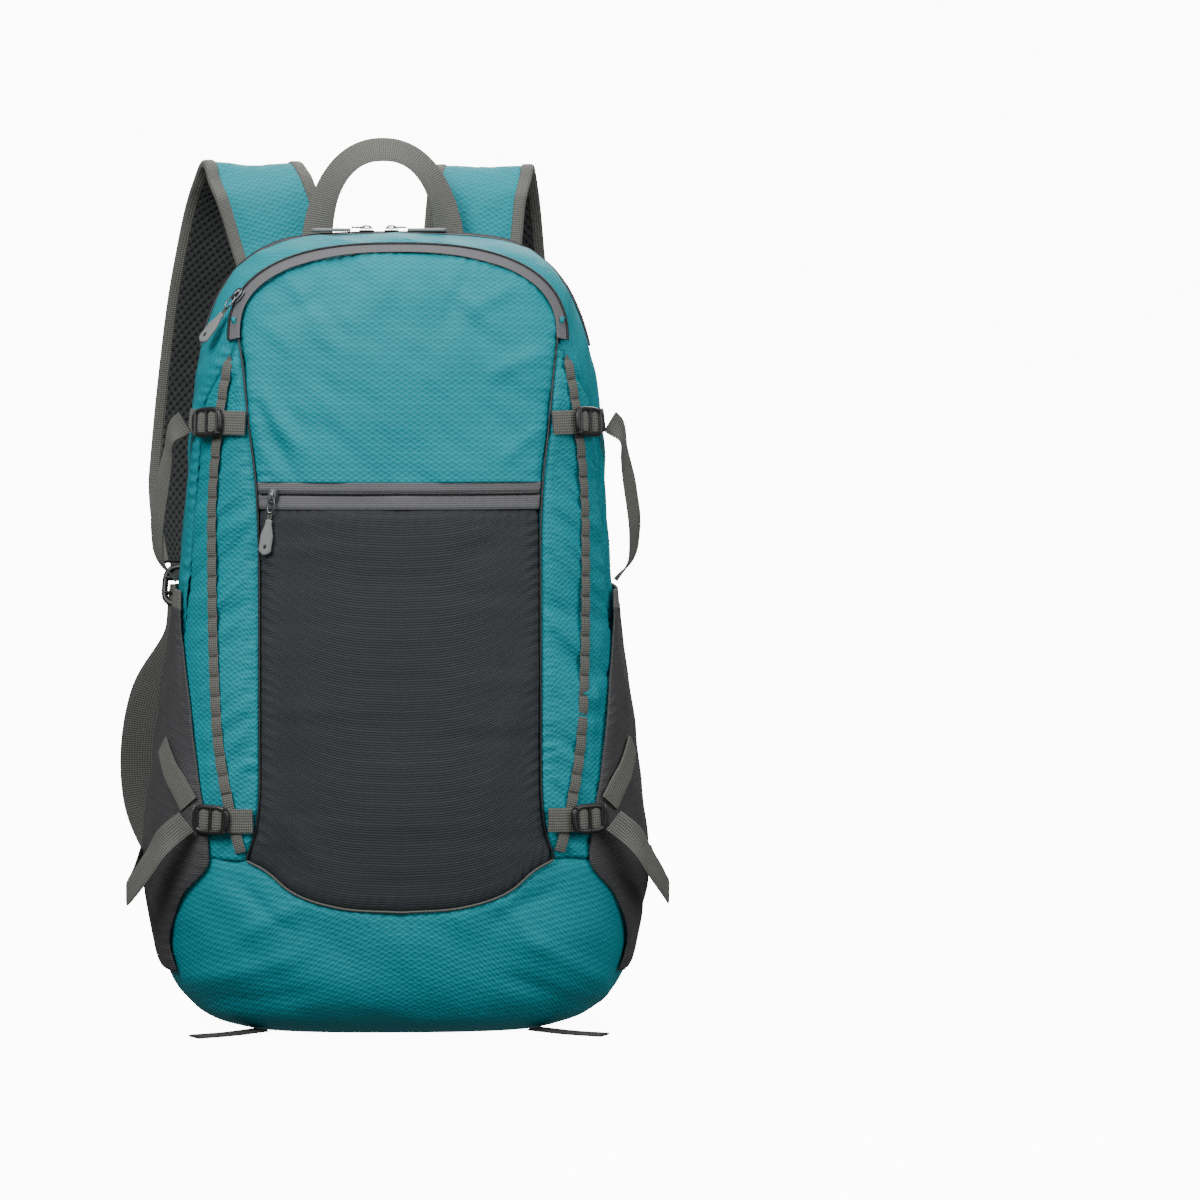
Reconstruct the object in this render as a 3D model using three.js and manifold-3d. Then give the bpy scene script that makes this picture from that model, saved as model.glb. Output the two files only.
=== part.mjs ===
// Packable backpack, standing on its base. Millimetres, +Z up, front towards -Y,
// origin at the middle of the base.

import * as THREE from 'three';
import Module from 'manifold-3d';
import { mergeVertices } from 'three/addons/utils/BufferGeometryUtils.js';

const wasm = await Module();
wasm.setup();

// Body
const BODY_H = 500;
const BODY_W = 314;
const FRONT_D = 96;
const BACK_D = 62;
const WALL = 1.6;
const FRONT_ROUND = 2.7;
const BACK_ROUND = 4.5;
const SEAM_GAP = 0.4;
const SIDES = 40;

// Seams
const BACK_SEAM_Y = 44;
const GUSSET_SEAM_Y = -36;
const FRONT_PANEL_W = 175;
const POCKET_TOP_Z = 348;
const POCKET_ZIP_H = 17;
const PANEL_FOOT_Z = 113;
const PANEL_DIP = 32;
const GUSSET_FOOT_Z = 436;
const ZIP_ARCH_H = 56;
const ZIP_ARCH_W = 204;
const SIDE_POCKET_TOP = 278;
const SIDE_POCKET_FOOT = 38;
const CUT_REACH = 400;

// Webbing and trim
const TRIM_GAP = 0.35;
const TAPE_T = 1.2;
const DAISY_W = 7;
const WEB_W = 15;
const WEB_T = 1.4;
const ZIP_W = 9;
const HEM_H = 12;
const HANDLE_W = 20;
const HANDLE_H = 77;
const HANDLE_SPAN = 86;
const HANDLE_X = -6;

// Shoulder straps
const STRAP_W = 64;
const STRAP_T = 8;
const STRAP_TOP_Z = 545;
const STRAP_REACH = 72;
const STRAP_WEB_W = 24;
const LADDER_W = 34;
const LADDER_H = 30;
const LADDER_T = 5;

// Compression buckles, sliders and pulls
const BUCKLE_W = 26;
const BUCKLE_H = 19;
const BUCKLE_T = 4;
const BUCKLE_BAR = 3;
const UPPER_STRAP_Z = 384;
const LOWER_STRAP_Z = 138;
const BUCKLE_INSET = 42;
const BUCKLE_X = BODY_W / 2 - BUCKLE_INSET;
const SLIDER_L = 10;
const SLIDER_W = 7;
const SLIDER_T = 4;
const PULL_L = 25;
const PULL_W = 8;
const PULL_T = 2.4;
const RING_L = 11;
const LOOP_L = 42;

const COLOURS = {
  shell_fabric: ['#1b8c92', 0.62],
  grey_fabric: ['#45454b', 0.85],
  mesh_fabric: ['#26282a', 0.95],
  webbing: ['#5f5f60', 0.8],
  zip_tape: ['#57585a', 0.75],
  buckle_plastic: ['#1f2022', 0.45],
  zip_metal: ['#b9bcc0', 0.3],
  pull_rubber: ['#8d8f92', 0.6],
};

const backpack = new THREE.Group();

function addPiece(name, geometry, finish) {
  const [color, roughness] = COLOURS[finish];
  const metalness = finish === 'zip_metal' ? 1 : 0;
  const mesh = new THREE.Mesh(geometry, new THREE.MeshStandardMaterial({ color, roughness, metalness }));
  mesh.name = name;
  backpack.add(mesh);
}

// Solids

// The same skin with shared corners, and without faces that shrank to a line.
const MERGE_REACH = 1e-4;
function welded(geometry) {
  const bare = geometry.clone();
  bare.deleteAttribute('normal');
  bare.deleteAttribute('uv');
  const merged = mergeVertices(bare, MERGE_REACH);
  const kept = [];
  const index = merged.index.array;
  for (let i = 0; i < index.length; i += 3) {
    const [a, b, c] = index.slice(i, i + 3);
    if (a !== b && b !== c && c !== a) kept.push(a, b, c);
  }
  merged.setIndex(kept);
  return merged;
}

function toSolid(geometry) {
  const merged = welded(geometry);
  return new wasm.Manifold(new wasm.Mesh({
    numProp: 3,
    vertProperties: new Float32Array(merged.attributes.position.array),
    triVerts: new Uint32Array(merged.index.array),
  }));
}

function toGeometry(solid) {
  const { numProp, vertProperties, triVerts } = solid.getMesh();
  const position = new Float32Array((vertProperties.length / numProp) * 3);
  for (let i = 0; i < position.length / 3; i += 1) {
    position.set(vertProperties.subarray(i * numProp, i * numProp + 3), i * 3);
  }
  const geometry = new THREE.BufferGeometry();
  geometry.setAttribute('position', new THREE.BufferAttribute(position, 3));
  geometry.setIndex(new THREE.BufferAttribute(new Uint32Array(triVerts), 1));
  return geometry;
}

// A closed skin over rings of points, each ring with the same count, ends capped to their middles.
// Each half of a ring splits its quads the other way, so both faces of a thin twisted ring match.
function loft(rings) {
  const count = rings[0].length;
  const points = rings.flat();
  const first = points.length;
  const middle = (ring) => ring.reduce((sum, p) => sum.add(p), new THREE.Vector3()).divideScalar(count);
  points.push(middle(rings[0]), middle(rings[rings.length - 1]));
  const faces = [];
  for (let r = 0; r + 1 < rings.length; r += 1) {
    for (let i = 0; i < count; i += 1) {
      const a = r * count + i;
      const b = r * count + ((i + 1) % count);
      if (i < count / 2) faces.push(a, b, b + count, a, b + count, a + count);
      else faces.push(a, b, a + count, b, b + count, a + count);
    }
  }
  const last = (rings.length - 1) * count;
  for (let i = 0; i < count; i += 1) {
    const j = (i + 1) % count;
    faces.push(first, j, i, first + 1, last + i, last + j);
  }
  const geometry = new THREE.BufferGeometry();
  geometry.setAttribute('position', new THREE.Float32BufferAttribute(points.flatMap((p) => p.toArray()), 3));
  geometry.setIndex(faces);
  return outward(geometry);
}

// Turns every face over when the skin was wound inside out.
function outward(geometry) {
  const index = geometry.index.array;
  const p = [new THREE.Vector3(), new THREE.Vector3(), new THREE.Vector3()];
  let volume = 0;
  for (let i = 0; i < index.length; i += 3) {
    p.forEach((v, k) => v.fromBufferAttribute(geometry.attributes.position, index[i + k]));
    volume += p[0].dot(p[1].clone().cross(p[2]));
  }
  if (volume < 0) {
    for (let i = 0; i < index.length; i += 3) {
      [index[i + 1], index[i + 2]] = [index[i + 2], index[i + 1]];
    }
  }
  return geometry;
}

// Body form. Height as a share of BODY_H, half width, front and back depth as shares of the body's.
const BODY_ROWS = [
  // height, width, front, back
  [0.000, 0.62, 0.56, 0.84],
  [0.012, 0.74, 0.70, 0.90],
  [0.036, 0.85, 0.83, 0.95],
  [0.064, 0.915, 0.91, 0.97],
  [0.115, 0.965, 0.97, 0.99],
  [0.170, 0.992, 1.00, 1.00],
  [0.225, 1.000, 1.01, 1.00],
  [0.290, 0.980, 1.01, 1.00],
  [0.350, 0.955, 0.99, 1.00],
  [0.420, 0.930, 0.97, 1.00],
  [0.500, 0.895, 0.94, 1.00],
  [0.580, 0.872, 0.90, 1.00],
  [0.660, 0.852, 0.86, 1.00],
  [0.740, 0.838, 0.81, 1.00],
  [0.800, 0.816, 0.77, 0.99],
  [0.860, 0.783, 0.71, 0.97],
  [0.905, 0.738, 0.64, 0.94],
  [0.940, 0.680, 0.57, 0.90],
  [0.966, 0.605, 0.49, 0.84],
  [0.985, 0.510, 0.39, 0.74],
  [0.996, 0.400, 0.27, 0.60],
  [1.000, 0.280, 0.16, 0.45],
];

function bodySizeAt(z) {
  const share = THREE.MathUtils.clamp(z / BODY_H, 0, 1);
  let row = 0;
  while (row < BODY_ROWS.length - 2 && BODY_ROWS[row + 1][0] < share) row += 1;
  const [low, high] = [BODY_ROWS[row], BODY_ROWS[row + 1]];
  const t = (share - low[0]) / (high[0] - low[0]);
  const mix = (k) => THREE.MathUtils.lerp(low[k], high[k], t);
  return { halfWidth: (mix(1) * BODY_W) / 2, front: mix(2) * FRONT_D, back: mix(3) * BACK_D };
}

function bodyRing(size, z, grow) {
  const ring = [];
  for (let i = 0; i < SIDES; i += 1) {
    const angle = (i / SIDES) * Math.PI * 2;
    const isBack = Math.sin(angle) > 0;
    const power = 2 / (isBack ? BACK_ROUND : FRONT_ROUND);
    const c = Math.cos(angle);
    const s = Math.sin(angle);
    const depth = (isBack ? size.back : size.front) + grow;
    ring.push(new THREE.Vector3(
      (size.halfWidth + grow) * Math.sign(c) * Math.abs(c) ** power,
      depth * Math.sign(s) * Math.abs(s) ** power,
      z,
    ));
  }
  return ring;
}

// The body grown by a distance, or shrunk by a negative one.
function bodySolid(grow) {
  const rings = BODY_ROWS.map(([height]) => {
    const z = height * BODY_H;
    const middle = BODY_H / 2;
    return bodyRing(bodySizeAt(z), middle + (z - middle) * (1 + (2 * grow) / BODY_H), grow);
  });
  return toSolid(loft(rings));
}

function frontY(x, z) {
  const size = bodySizeAt(z);
  const across = Math.min(Math.abs(x) / size.halfWidth, 0.999);
  return -size.front * (1 - across ** FRONT_ROUND) ** (1 / FRONT_ROUND);
}

// A point on the front of the body and the way out from it.
function frontPoint(x, z) {
  const step = 1.5;
  const at = (dx, dz) => new THREE.Vector3(x + dx, frontY(x + dx, z + dz), z + dz);
  const along = at(step, 0).sub(at(-step, 0));
  const up = at(0, step).sub(at(0, -step));
  return { point: at(0, 0), normal: along.cross(up).normalize() };
}

// Cutters

function frontPrism(outline) {
  const shape = new THREE.Shape(outline.map(([x, z]) => new THREE.Vector2(x, z)));
  const geometry = new THREE.ExtrudeGeometry(shape, { depth: CUT_REACH, bevelEnabled: false });
  geometry.rotateX(Math.PI / 2);
  geometry.translate(0, CUT_REACH / 2, 0);
  return toSolid(geometry);
}

function block(x0, x1, y0, y1, z0, z1) {
  const geometry = new THREE.BoxGeometry(x1 - x0, y1 - y0, z1 - z0);
  geometry.translate((x0 + x1) / 2, (y0 + y1) / 2, (z0 + z1) / 2);
  return toSolid(geometry);
}

const mirrored = (outline) => outline.map(([x, z]) => [-x, z]).reverse();
const halfPanel = FRONT_PANEL_W / 2;

// Right edge of the front panel, foot to head: share of its half width, height share of the body.
const PANEL_EDGE = [
  [1.10, 0.226], [1.03, 0.264], [1.00, 0.340], [1.00, 0.592],
  [1.02, 0.692], [1.07, 0.768], [1.11, 0.838], [1.18, 0.920],
];
const panelEdge = PANEL_EDGE.map(([x, z]) => [x * halfPanel, z * BODY_H]);

// Curved foot of the front panel, middle to right: share of its half width, share of its dip.
const FOOT_EDGE = [[0, 1], [0.46, 0.90], [0.78, 0.60], [0.96, 0.20], [1.10, 0]];
const footEdge = FOOT_EDGE.map(([x, dip]) => [x * halfPanel, PANEL_FOOT_Z - dip * PANEL_DIP]);
const footLine = [...mirrored(footEdge), ...footEdge.slice(1)];

// Main zip, left end to right end, as an arch over the front.
const ZIP_STEPS = 24;
function zipArch(grow) {
  const line = [];
  for (let i = 0; i <= ZIP_STEPS; i += 1) {
    const angle = Math.PI * (1 - i / ZIP_STEPS);
    const x = (ZIP_ARCH_W / 2 + grow) * Math.sign(Math.cos(angle)) * Math.abs(Math.cos(angle)) ** 0.8;
    const z = GUSSET_FOOT_Z + (ZIP_ARCH_H + grow) * Math.sin(angle) ** 0.8;
    line.push([x, z]);
  }
  return line;
}

// Side pocket edge on the right, foot to head: half width share of the body, share of its height.
const POCKET_EDGE = [
  [0.875, 0], [0.905, 0.08], [0.850, 0.21], [0.745, 0.31],
  [0.790, 0.53], [0.822, 0.71], [0.850, 0.87], [0.856, 1],
];
const pocketEdge = POCKET_EDGE.map(([x, up]) => [
  (x * BODY_W) / 2, THREE.MathUtils.lerp(SIDE_POCKET_FOOT, SIDE_POCKET_TOP, up),
]);

// Panels of the shell. Each is the shell inside its outline, and the seams part them.
const shell = bodySolid(0).subtract(bodySolid(-WALL));
const wide = BODY_W;
const halfGap = SEAM_GAP / 2;

const backHalf = block(-wide, wide, BACK_SEAM_Y + halfGap, wide, -wide, 2 * BODY_H);
const frontHalf = block(-wide, wide, -wide, BACK_SEAM_Y - halfGap, -wide, 2 * BODY_H);
const frontFace = block(-wide, wide, -wide, GUSSET_SEAM_Y - halfGap, -wide, 2 * BODY_H);
const frontFaceGrown = block(-wide, wide, -wide, GUSSET_SEAM_Y + halfGap, -wide, 2 * BODY_H);

const underZip = (grow) => frontPrism([
  ...zipArch(grow).reverse(),
  [-wide, GUSSET_FOOT_Z + grow], [-wide, -wide], [wide, -wide], [wide, GUSSET_FOOT_Z + grow],
]);
const belowFoot = (grow) => frontPrism([
  [-wide, -wide], [wide, -wide], [wide, PANEL_FOOT_Z + grow],
  ...footLine.map(([x, z]) => [x, z + grow]).reverse(), [-wide, PANEL_FOOT_Z + grow],
]);
const insidePanel = (grow) => frontPrism([
  [-halfPanel * 1.1 - grow, -wide], [halfPanel * 1.1 + grow, -wide],
  ...panelEdge.map(([x, z]) => [x + grow, z]), [halfPanel * 1.18 + grow, wide * 2],
  [-halfPanel * 1.18 - grow, wide * 2],
  ...mirrored(panelEdge).map(([x, z]) => [x - grow, z]),
]);
const belowZ = (z) => block(-wide, wide, -wide, wide, -wide, z);

const frontShell = shell.intersect(frontHalf);
const upperShell = frontShell.subtract(belowFoot(halfGap));
const faceShell = upperShell.intersect(frontFace).intersect(underZip(-halfGap));
const panelShell = faceShell.intersect(insidePanel(-halfGap));
const pocketZipFoot = POCKET_TOP_Z - POCKET_ZIP_H;

addPiece('base_panel', toGeometry(frontShell.intersect(belowFoot(-halfGap))), 'shell_fabric');
addPiece('front_panel', toGeometry(panelShell.subtract(belowZ(POCKET_TOP_Z + halfGap))), 'shell_fabric');
addPiece('front_pocket', toGeometry(panelShell.intersect(belowZ(pocketZipFoot - halfGap))), 'grey_fabric');
addPiece('pocket_zip', toGeometry(panelShell.intersect(belowZ(POCKET_TOP_Z - halfGap))
  .subtract(belowZ(pocketZipFoot + halfGap))), 'zip_tape');

const sideShell = faceShell.subtract(insidePanel(halfGap));
addPiece('side_panel_left', toGeometry(sideShell.intersect(block(-wide, 0, -wide, wide, 0, BODY_H))),
  'shell_fabric');
addPiece('side_panel_right', toGeometry(sideShell.intersect(block(0, wide, -wide, wide, 0, BODY_H))),
  'shell_fabric');
const gusset = upperShell.subtract(underZip(halfGap).intersect(frontFaceGrown));
addPiece('gusset', toGeometry(gusset), 'shell_fabric');
addPiece('back_panel', toGeometry(shell.intersect(backHalf)), 'mesh_fabric');

// Side pockets lie flat on the sides, open at the top under an elastic hem.
const pocketSkin = bodySolid(TRIM_GAP + WALL).subtract(bodySolid(TRIM_GAP));
for (const [side, sign] of [['left', -1], ['right', 1]]) {
  const outline = [[wide, SIDE_POCKET_FOOT], ...pocketEdge, [wide, SIDE_POCKET_TOP]];
  const pocket = pocketSkin.intersect(frontHalf).intersect(frontPrism(sign > 0 ? outline : mirrored(outline)));
  const hemFoot = SIDE_POCKET_TOP - HEM_H;
  addPiece(`side_pocket_${side}`, toGeometry(pocket.intersect(belowZ(hemFoot - halfGap))), 'grey_fabric');
  addPiece(`pocket_hem_${side}`, toGeometry(pocket.subtract(belowZ(hemFoot + halfGap))), 'webbing');
}

// Ribbons. Each station has a middle point, the way across and the way out.
function ribbon(stations, width, thickness) {
  const rings = stations.map(({ point, across, out, share = 1 }) => {
    const a = across.clone().normalize().multiplyScalar((width * share) / 2);
    const t = out.clone().normalize().multiplyScalar(thickness / 2);
    const corner = (i, j) => point.clone().addScaledVector(a, i).addScaledVector(t, j);
    return [corner(-1, -1), corner(1, -1), corner(1, 1), corner(-1, 1)];
  });
  return loft(rings);
}

// A flat tape laid on the front of the body along a line of x and z.
function tapeOnFront(line, width, lift, thickness) {
  const stations = line.map(([x, z], i) => {
    const { point, normal } = frontPoint(x, z);
    const before = line[Math.max(i - 1, 0)];
    const after = line[Math.min(i + 1, line.length - 1)];
    const a = frontPoint(...before).point;
    const b = frontPoint(...after).point;
    const across = normal.clone().cross(b.sub(a).normalize());
    return { point: point.addScaledVector(normal, lift + thickness / 2), across, out: normal };
  });
  return ribbon(stations, width, thickness);
}

// A free strap through a smooth curve of points, its width turning through a list of ways.
function freeStrap(points, ways, width, thickness, steps) {
  const curve = new THREE.CatmullRomCurve3(points.map((p) => new THREE.Vector3(...p)));
  const stations = [];
  for (let i = 0; i <= steps; i += 1) {
    const t = i / steps;
    const tangent = curve.getTangentAt(t);
    const place = Math.min(Math.floor(t * (ways.length - 1)), ways.length - 2);
    const across = new THREE.Vector3(...ways[place]).lerp(
      new THREE.Vector3(...ways[place + 1]), t * (ways.length - 1) - place);
    across.addScaledVector(tangent, -across.dot(tangent));
    stations.push({ point: curve.getPointAt(t), across, out: across.clone().cross(tangent) });
  }
  return ribbon(stations, width, thickness);
}

addPiece('main_zip', tapeOnFront(zipArch(0), ZIP_W, 2 * TRIM_GAP, TAPE_T), 'zip_tape');

// Daisy chain tape on the right, foot to head: share of half the body, height share.
const DAISY_LINE = [
  [0.630, 0.236], [0.680, 0.300], [0.715, 0.370], [0.728, 0.440], [0.735, 0.520],
  [0.737, 0.600], [0.735, 0.670], [0.715, 0.750], [0.690, 0.810], [0.665, 0.852],
];
for (const [side, sign] of [['left', -1], ['right', 1]]) {
  const line = DAISY_LINE.map(([x, z]) => [(sign * x * BODY_W) / 2, z * BODY_H]);
  addPiece(`daisy_chain_${side}`, tapeOnFront(line, DAISY_W, 2 * TRIM_GAP, TAPE_T), 'webbing');
}

// Where the straps pass over the daisy chain.
const OVER_DAISY = 4 * TRIM_GAP + TAPE_T;
const OVER_POCKET = 3 * TRIM_GAP + WALL;

function frameAt(x, z, roll) {
  const { point, normal } = frontPoint(x, z);
  const right = new THREE.Vector3(0, 0, 1).cross(normal).negate().normalize();
  right.applyAxisAngle(normal, roll);
  return { point, normal, right, up: normal.clone().cross(right).negate() };
}

function placed(geometry, frame, lift) {
  const up = frame.normal.clone().cross(frame.right);
  const basis = new THREE.Matrix4().makeBasis(frame.right, up, frame.normal);
  basis.setPosition(frame.point.clone().addScaledVector(frame.normal, lift));
  return outward(geometry.applyMatrix4(basis));
}

// A flat plate with round corners and square windows: each middle x and y, half width and height.
const CORNER_STEPS = 4;
function slab(width, height, thickness, radius, holes) {
  const outline = [];
  for (const [quarter, sx, sy] of [[3, 1, -1], [0, 1, 1], [1, -1, 1], [2, -1, -1]]) {
    for (let i = 0; i <= CORNER_STEPS; i += 1) {
      const angle = (Math.PI / 2) * (quarter + i / CORNER_STEPS);
      outline.push(new THREE.Vector2(
        sx * (width / 2 - radius) + radius * Math.cos(angle),
        sy * (height / 2 - radius) + radius * Math.sin(angle),
      ));
    }
  }
  const shape = new THREE.Shape(outline);
  const geometry = new THREE.ExtrudeGeometry(shape, { depth: thickness, bevelEnabled: false });
  if (!holes.length) return welded(geometry);
  return toGeometry(holes.reduce((plate, [cx, cy, hw, hh]) => (
    plate.subtract(block(cx - hw, cx + hw, cy - hh, cy + hh, -thickness, 2 * thickness))
  ), toSolid(geometry)));
}

// A smooth closed-section strap through points, its width turning from one way to another.
function paddedStrap(points, acrossStart, acrossEnd, width, thickness, steps) {
  const curve = new THREE.CatmullRomCurve3(points.map((p) => new THREE.Vector3(...p)));
  const rings = [];
  for (let i = 0; i <= steps; i += 1) {
    const t = i / steps;
    const tangent = curve.getTangentAt(t);
    const across = new THREE.Vector3(...acrossStart).lerp(new THREE.Vector3(...acrossEnd), t);
    across.addScaledVector(tangent, -across.dot(tangent)).normalize();
    const out = across.clone().cross(tangent);
    const middle = curve.getPointAt(t);
    rings.push(PAD_SECTION.map(([a, o]) => middle.clone()
      .addScaledVector(across, (a * width) / 2)
      .addScaledVector(out, (o * thickness) / 2)));
  }
  return loft(rings);
}

// Compression straps. A tab from the front seam runs under a buckle to its outer edge, and slack
// webbing goes on from there to the side of the body.
const windowW = (BUCKLE_W - 4 * BUCKLE_BAR) / 4;
const buckleHoles = [-1, 1].map((k) => [k * (windowW + BUCKLE_BAR / 2), 0, windowW, BUCKLE_H / 2 - BUCKLE_BAR]);
const LEVELS = [
  // name, height, tab start as a share of half the front panel, what it lies over
  ['upper', UPPER_STRAP_Z, 1.08, OVER_DAISY],
  ['lower', LOWER_STRAP_Z, 1.04, OVER_POCKET],
];
const TAB_STEPS = 3;

// Slack webbing rows: way out from the buckle's edge to the bulge beyond the body's side, depth
// behind the buckle and drop below it, each as a share of its own size.
const SLACK_BULGE = 15;
const UPPER_SLACK_DROP = 95;
const UPPER_SLACK = [
  [0.34, -0.65, 0], [0.74, -0.4, 0.06], [0.92, 0.3, 0.22], [1.17, 0.6, 0.46],
  [1.34, 0.8, 0.74], [1.20, 1, 0.94],
];
const LOWER_SLACK_DROP = 50;
const LOWER_SLACK_DEPTH = 62;
const LOWER_SLACK = [
  [0.13, -0.20, 0.02], [0.40, -0.21, 0.2], [0.68, -0.10, 0.55], [0.93, 0.13, 0.88],
  [1.02, 0.38, 1], [0.92, 0.7, 0.86],
];
// The way the width lies, from the buckle to the sewn end.
const SLACK_WAYS = {
  upper: [[0, 0, 1], [0.3, 1, 0.4], [0.6, 0.85, 0], [0.6, 0.85, 0], [0.4, 0.9, 0], [0, 1, 0.1]],
  lower: [[0, 0, 1], [0, 0.2, 1], [0, 0.1, 1], [0, -0.3, 1], [0, -0.5, 1]],
};

function slackPath(sign, rows, level, depth, drop, seat) {
  const edge = BUCKLE_X + BUCKLE_W / 2;
  const run = bodySizeAt(level).halfWidth + SLACK_BULGE - edge;
  const y = frontY(edge, level);
  const path = rows.map(([x, back, down]) => [sign * (edge + run * x), y + depth * back, level - drop * down]);
  return [...path, [sign * seat[0], y + seat[1], seat[2]]];
}

function slackUpper(sign) {
  const seatZ = SIDE_POCKET_TOP + WEB_W / 2 - 3;
  const seat = [bodySizeAt(seatZ).halfWidth + WEB_T, SLACK_BULGE, seatZ];
  return slackPath(sign, UPPER_SLACK, UPPER_STRAP_Z, SLACK_BULGE, UPPER_SLACK_DROP, seat);
}

function slackLower(sign) {
  const seatZ = LOWER_STRAP_Z - 30;
  const lift = WALL + 2 * TRIM_GAP + WEB_T / 2;
  const seat = [bodySizeAt(seatZ).halfWidth + lift + 1.5, LOWER_SLACK_DEPTH, seatZ];
  return slackPath(sign, LOWER_SLACK, LOWER_STRAP_Z, LOWER_SLACK_DEPTH, LOWER_SLACK_DROP, seat);
}

for (const [side, sign] of [['left', -1], ['right', 1]]) {
  for (const [level, z, start, lift] of LEVELS) {
    const line = [];
    for (let i = 0; i <= TAB_STEPS; i += 1) {
      const x = THREE.MathUtils.lerp(halfPanel * start, BUCKLE_X + BUCKLE_W / 2 - 1, i / TAB_STEPS);
      line.push([sign * x, z]);
    }
    addPiece(`compression_tab_${level}_${side}`, tapeOnFront(line, WEB_W, lift, WEB_T), 'webbing');
    const buckle = slab(BUCKLE_W, BUCKLE_H, BUCKLE_T, BUCKLE_H * 0.34, buckleHoles);
    const buckleFrame = frameAt(sign * BUCKLE_X, z, 0);
    addPiece(`buckle_${level}_${side}`, placed(buckle, buckleFrame, lift + WEB_T + TRIM_GAP), 'buckle_plastic');
    if (level === 'lower') {
      const rise = [[1.16, 0.10], [1.18, 0.14], [1.205, 0.19], [1.23, 0.25], [1.25, 0.31]];
      const anchor = rise.map(([x, up]) => [sign * x * BUCKLE_X, z * (1 + up)]);
      addPiece(`compression_anchor_${side}`,
        tapeOnFront(anchor, WEB_W, lift + TRIM_GAP / 2, WEB_T), 'webbing');
    }
    const slack = level === 'upper' ? slackUpper(sign) : slackLower(sign);
    addPiece(`compression_web_${level}_${side}`,
      freeStrap(slack, SLACK_WAYS[level].map(([x, y, up]) => [sign * x, y, up]), WEB_W, WEB_T, 16), 'webbing');
  }
}

// Grab handle, an arch of webbing sewn to the top of the back.
function backY(x, z) {
  const size = bodySizeAt(z);
  const across = Math.min(Math.abs(x) / size.halfWidth, 0.999);
  return size.back * (1 - across ** BACK_ROUND) ** (1 / BACK_ROUND);
}

const HANDLE_FOOT = BODY_H * 0.955;
const HANDLE_STEPS = 16;
const HANDLE_WAYS = [[-1, 0, 0], [-0.6, 0.6, 0.5], [0, 0.7, 0.75], [0.6, 0.6, 0.5], [1, 0, 0]];
const handlePath = [];
for (let i = 0; i <= HANDLE_STEPS; i += 1) {
  const angle = Math.PI * (1 - i / HANDLE_STEPS);
  const rise = Math.sin(angle) ** 0.8;
  const foot = backY(HANDLE_X, HANDLE_FOOT) + TRIM_GAP + WEB_T / 2;
  handlePath.push([
    HANDLE_X + (HANDLE_SPAN / 2) * Math.sign(Math.cos(angle)) * Math.abs(Math.cos(angle)) ** 0.9,
    foot + rise * 6,
    HANDLE_FOOT + rise * HANDLE_H,
  ]);
}
addPiece('grab_handle',
  freeStrap(handlePath, HANDLE_WAYS, HANDLE_W, WEB_T, HANDLE_STEPS), 'webbing');

// Shoulder straps. Path rows: x and y as shares of half the body and of the reach behind it,
// height as a share of the strap's top.
const PAD_SECTION = [
  [-1, -0.35], [-0.8, -1], [0.8, -1], [1, -0.35], [1, 0.35], [0.8, 1], [-0.8, 1], [-1, 0.35],
];
const STRAP_PATHS = {
  left: [
    [-0.34, -0.020, 0.770], [-0.37, -0.012, 0.830], [-0.45, 0.12, 0.905], [-0.53, 0.30, 0.975],
    [-0.57, 0.52, 0.992], [-0.62, 0.78, 0.960], [-0.70, 0.96, 0.860], [-0.76, 1.00, 0.735],
    [-0.80, 0.90, 0.620], [-0.83, 0.66, 0.525],
  ],
  right: [
    [0.27, -0.020, 0.770], [0.29, -0.012, 0.830], [0.33, 0.12, 0.905], [0.36, 0.30, 0.972],
    [0.39, 0.53, 0.990], [0.42, 0.79, 0.958], [0.46, 0.96, 0.860], [0.52, 1.00, 0.735],
    [0.58, 0.90, 0.620], [0.62, 0.66, 0.525],
  ],
};
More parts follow.
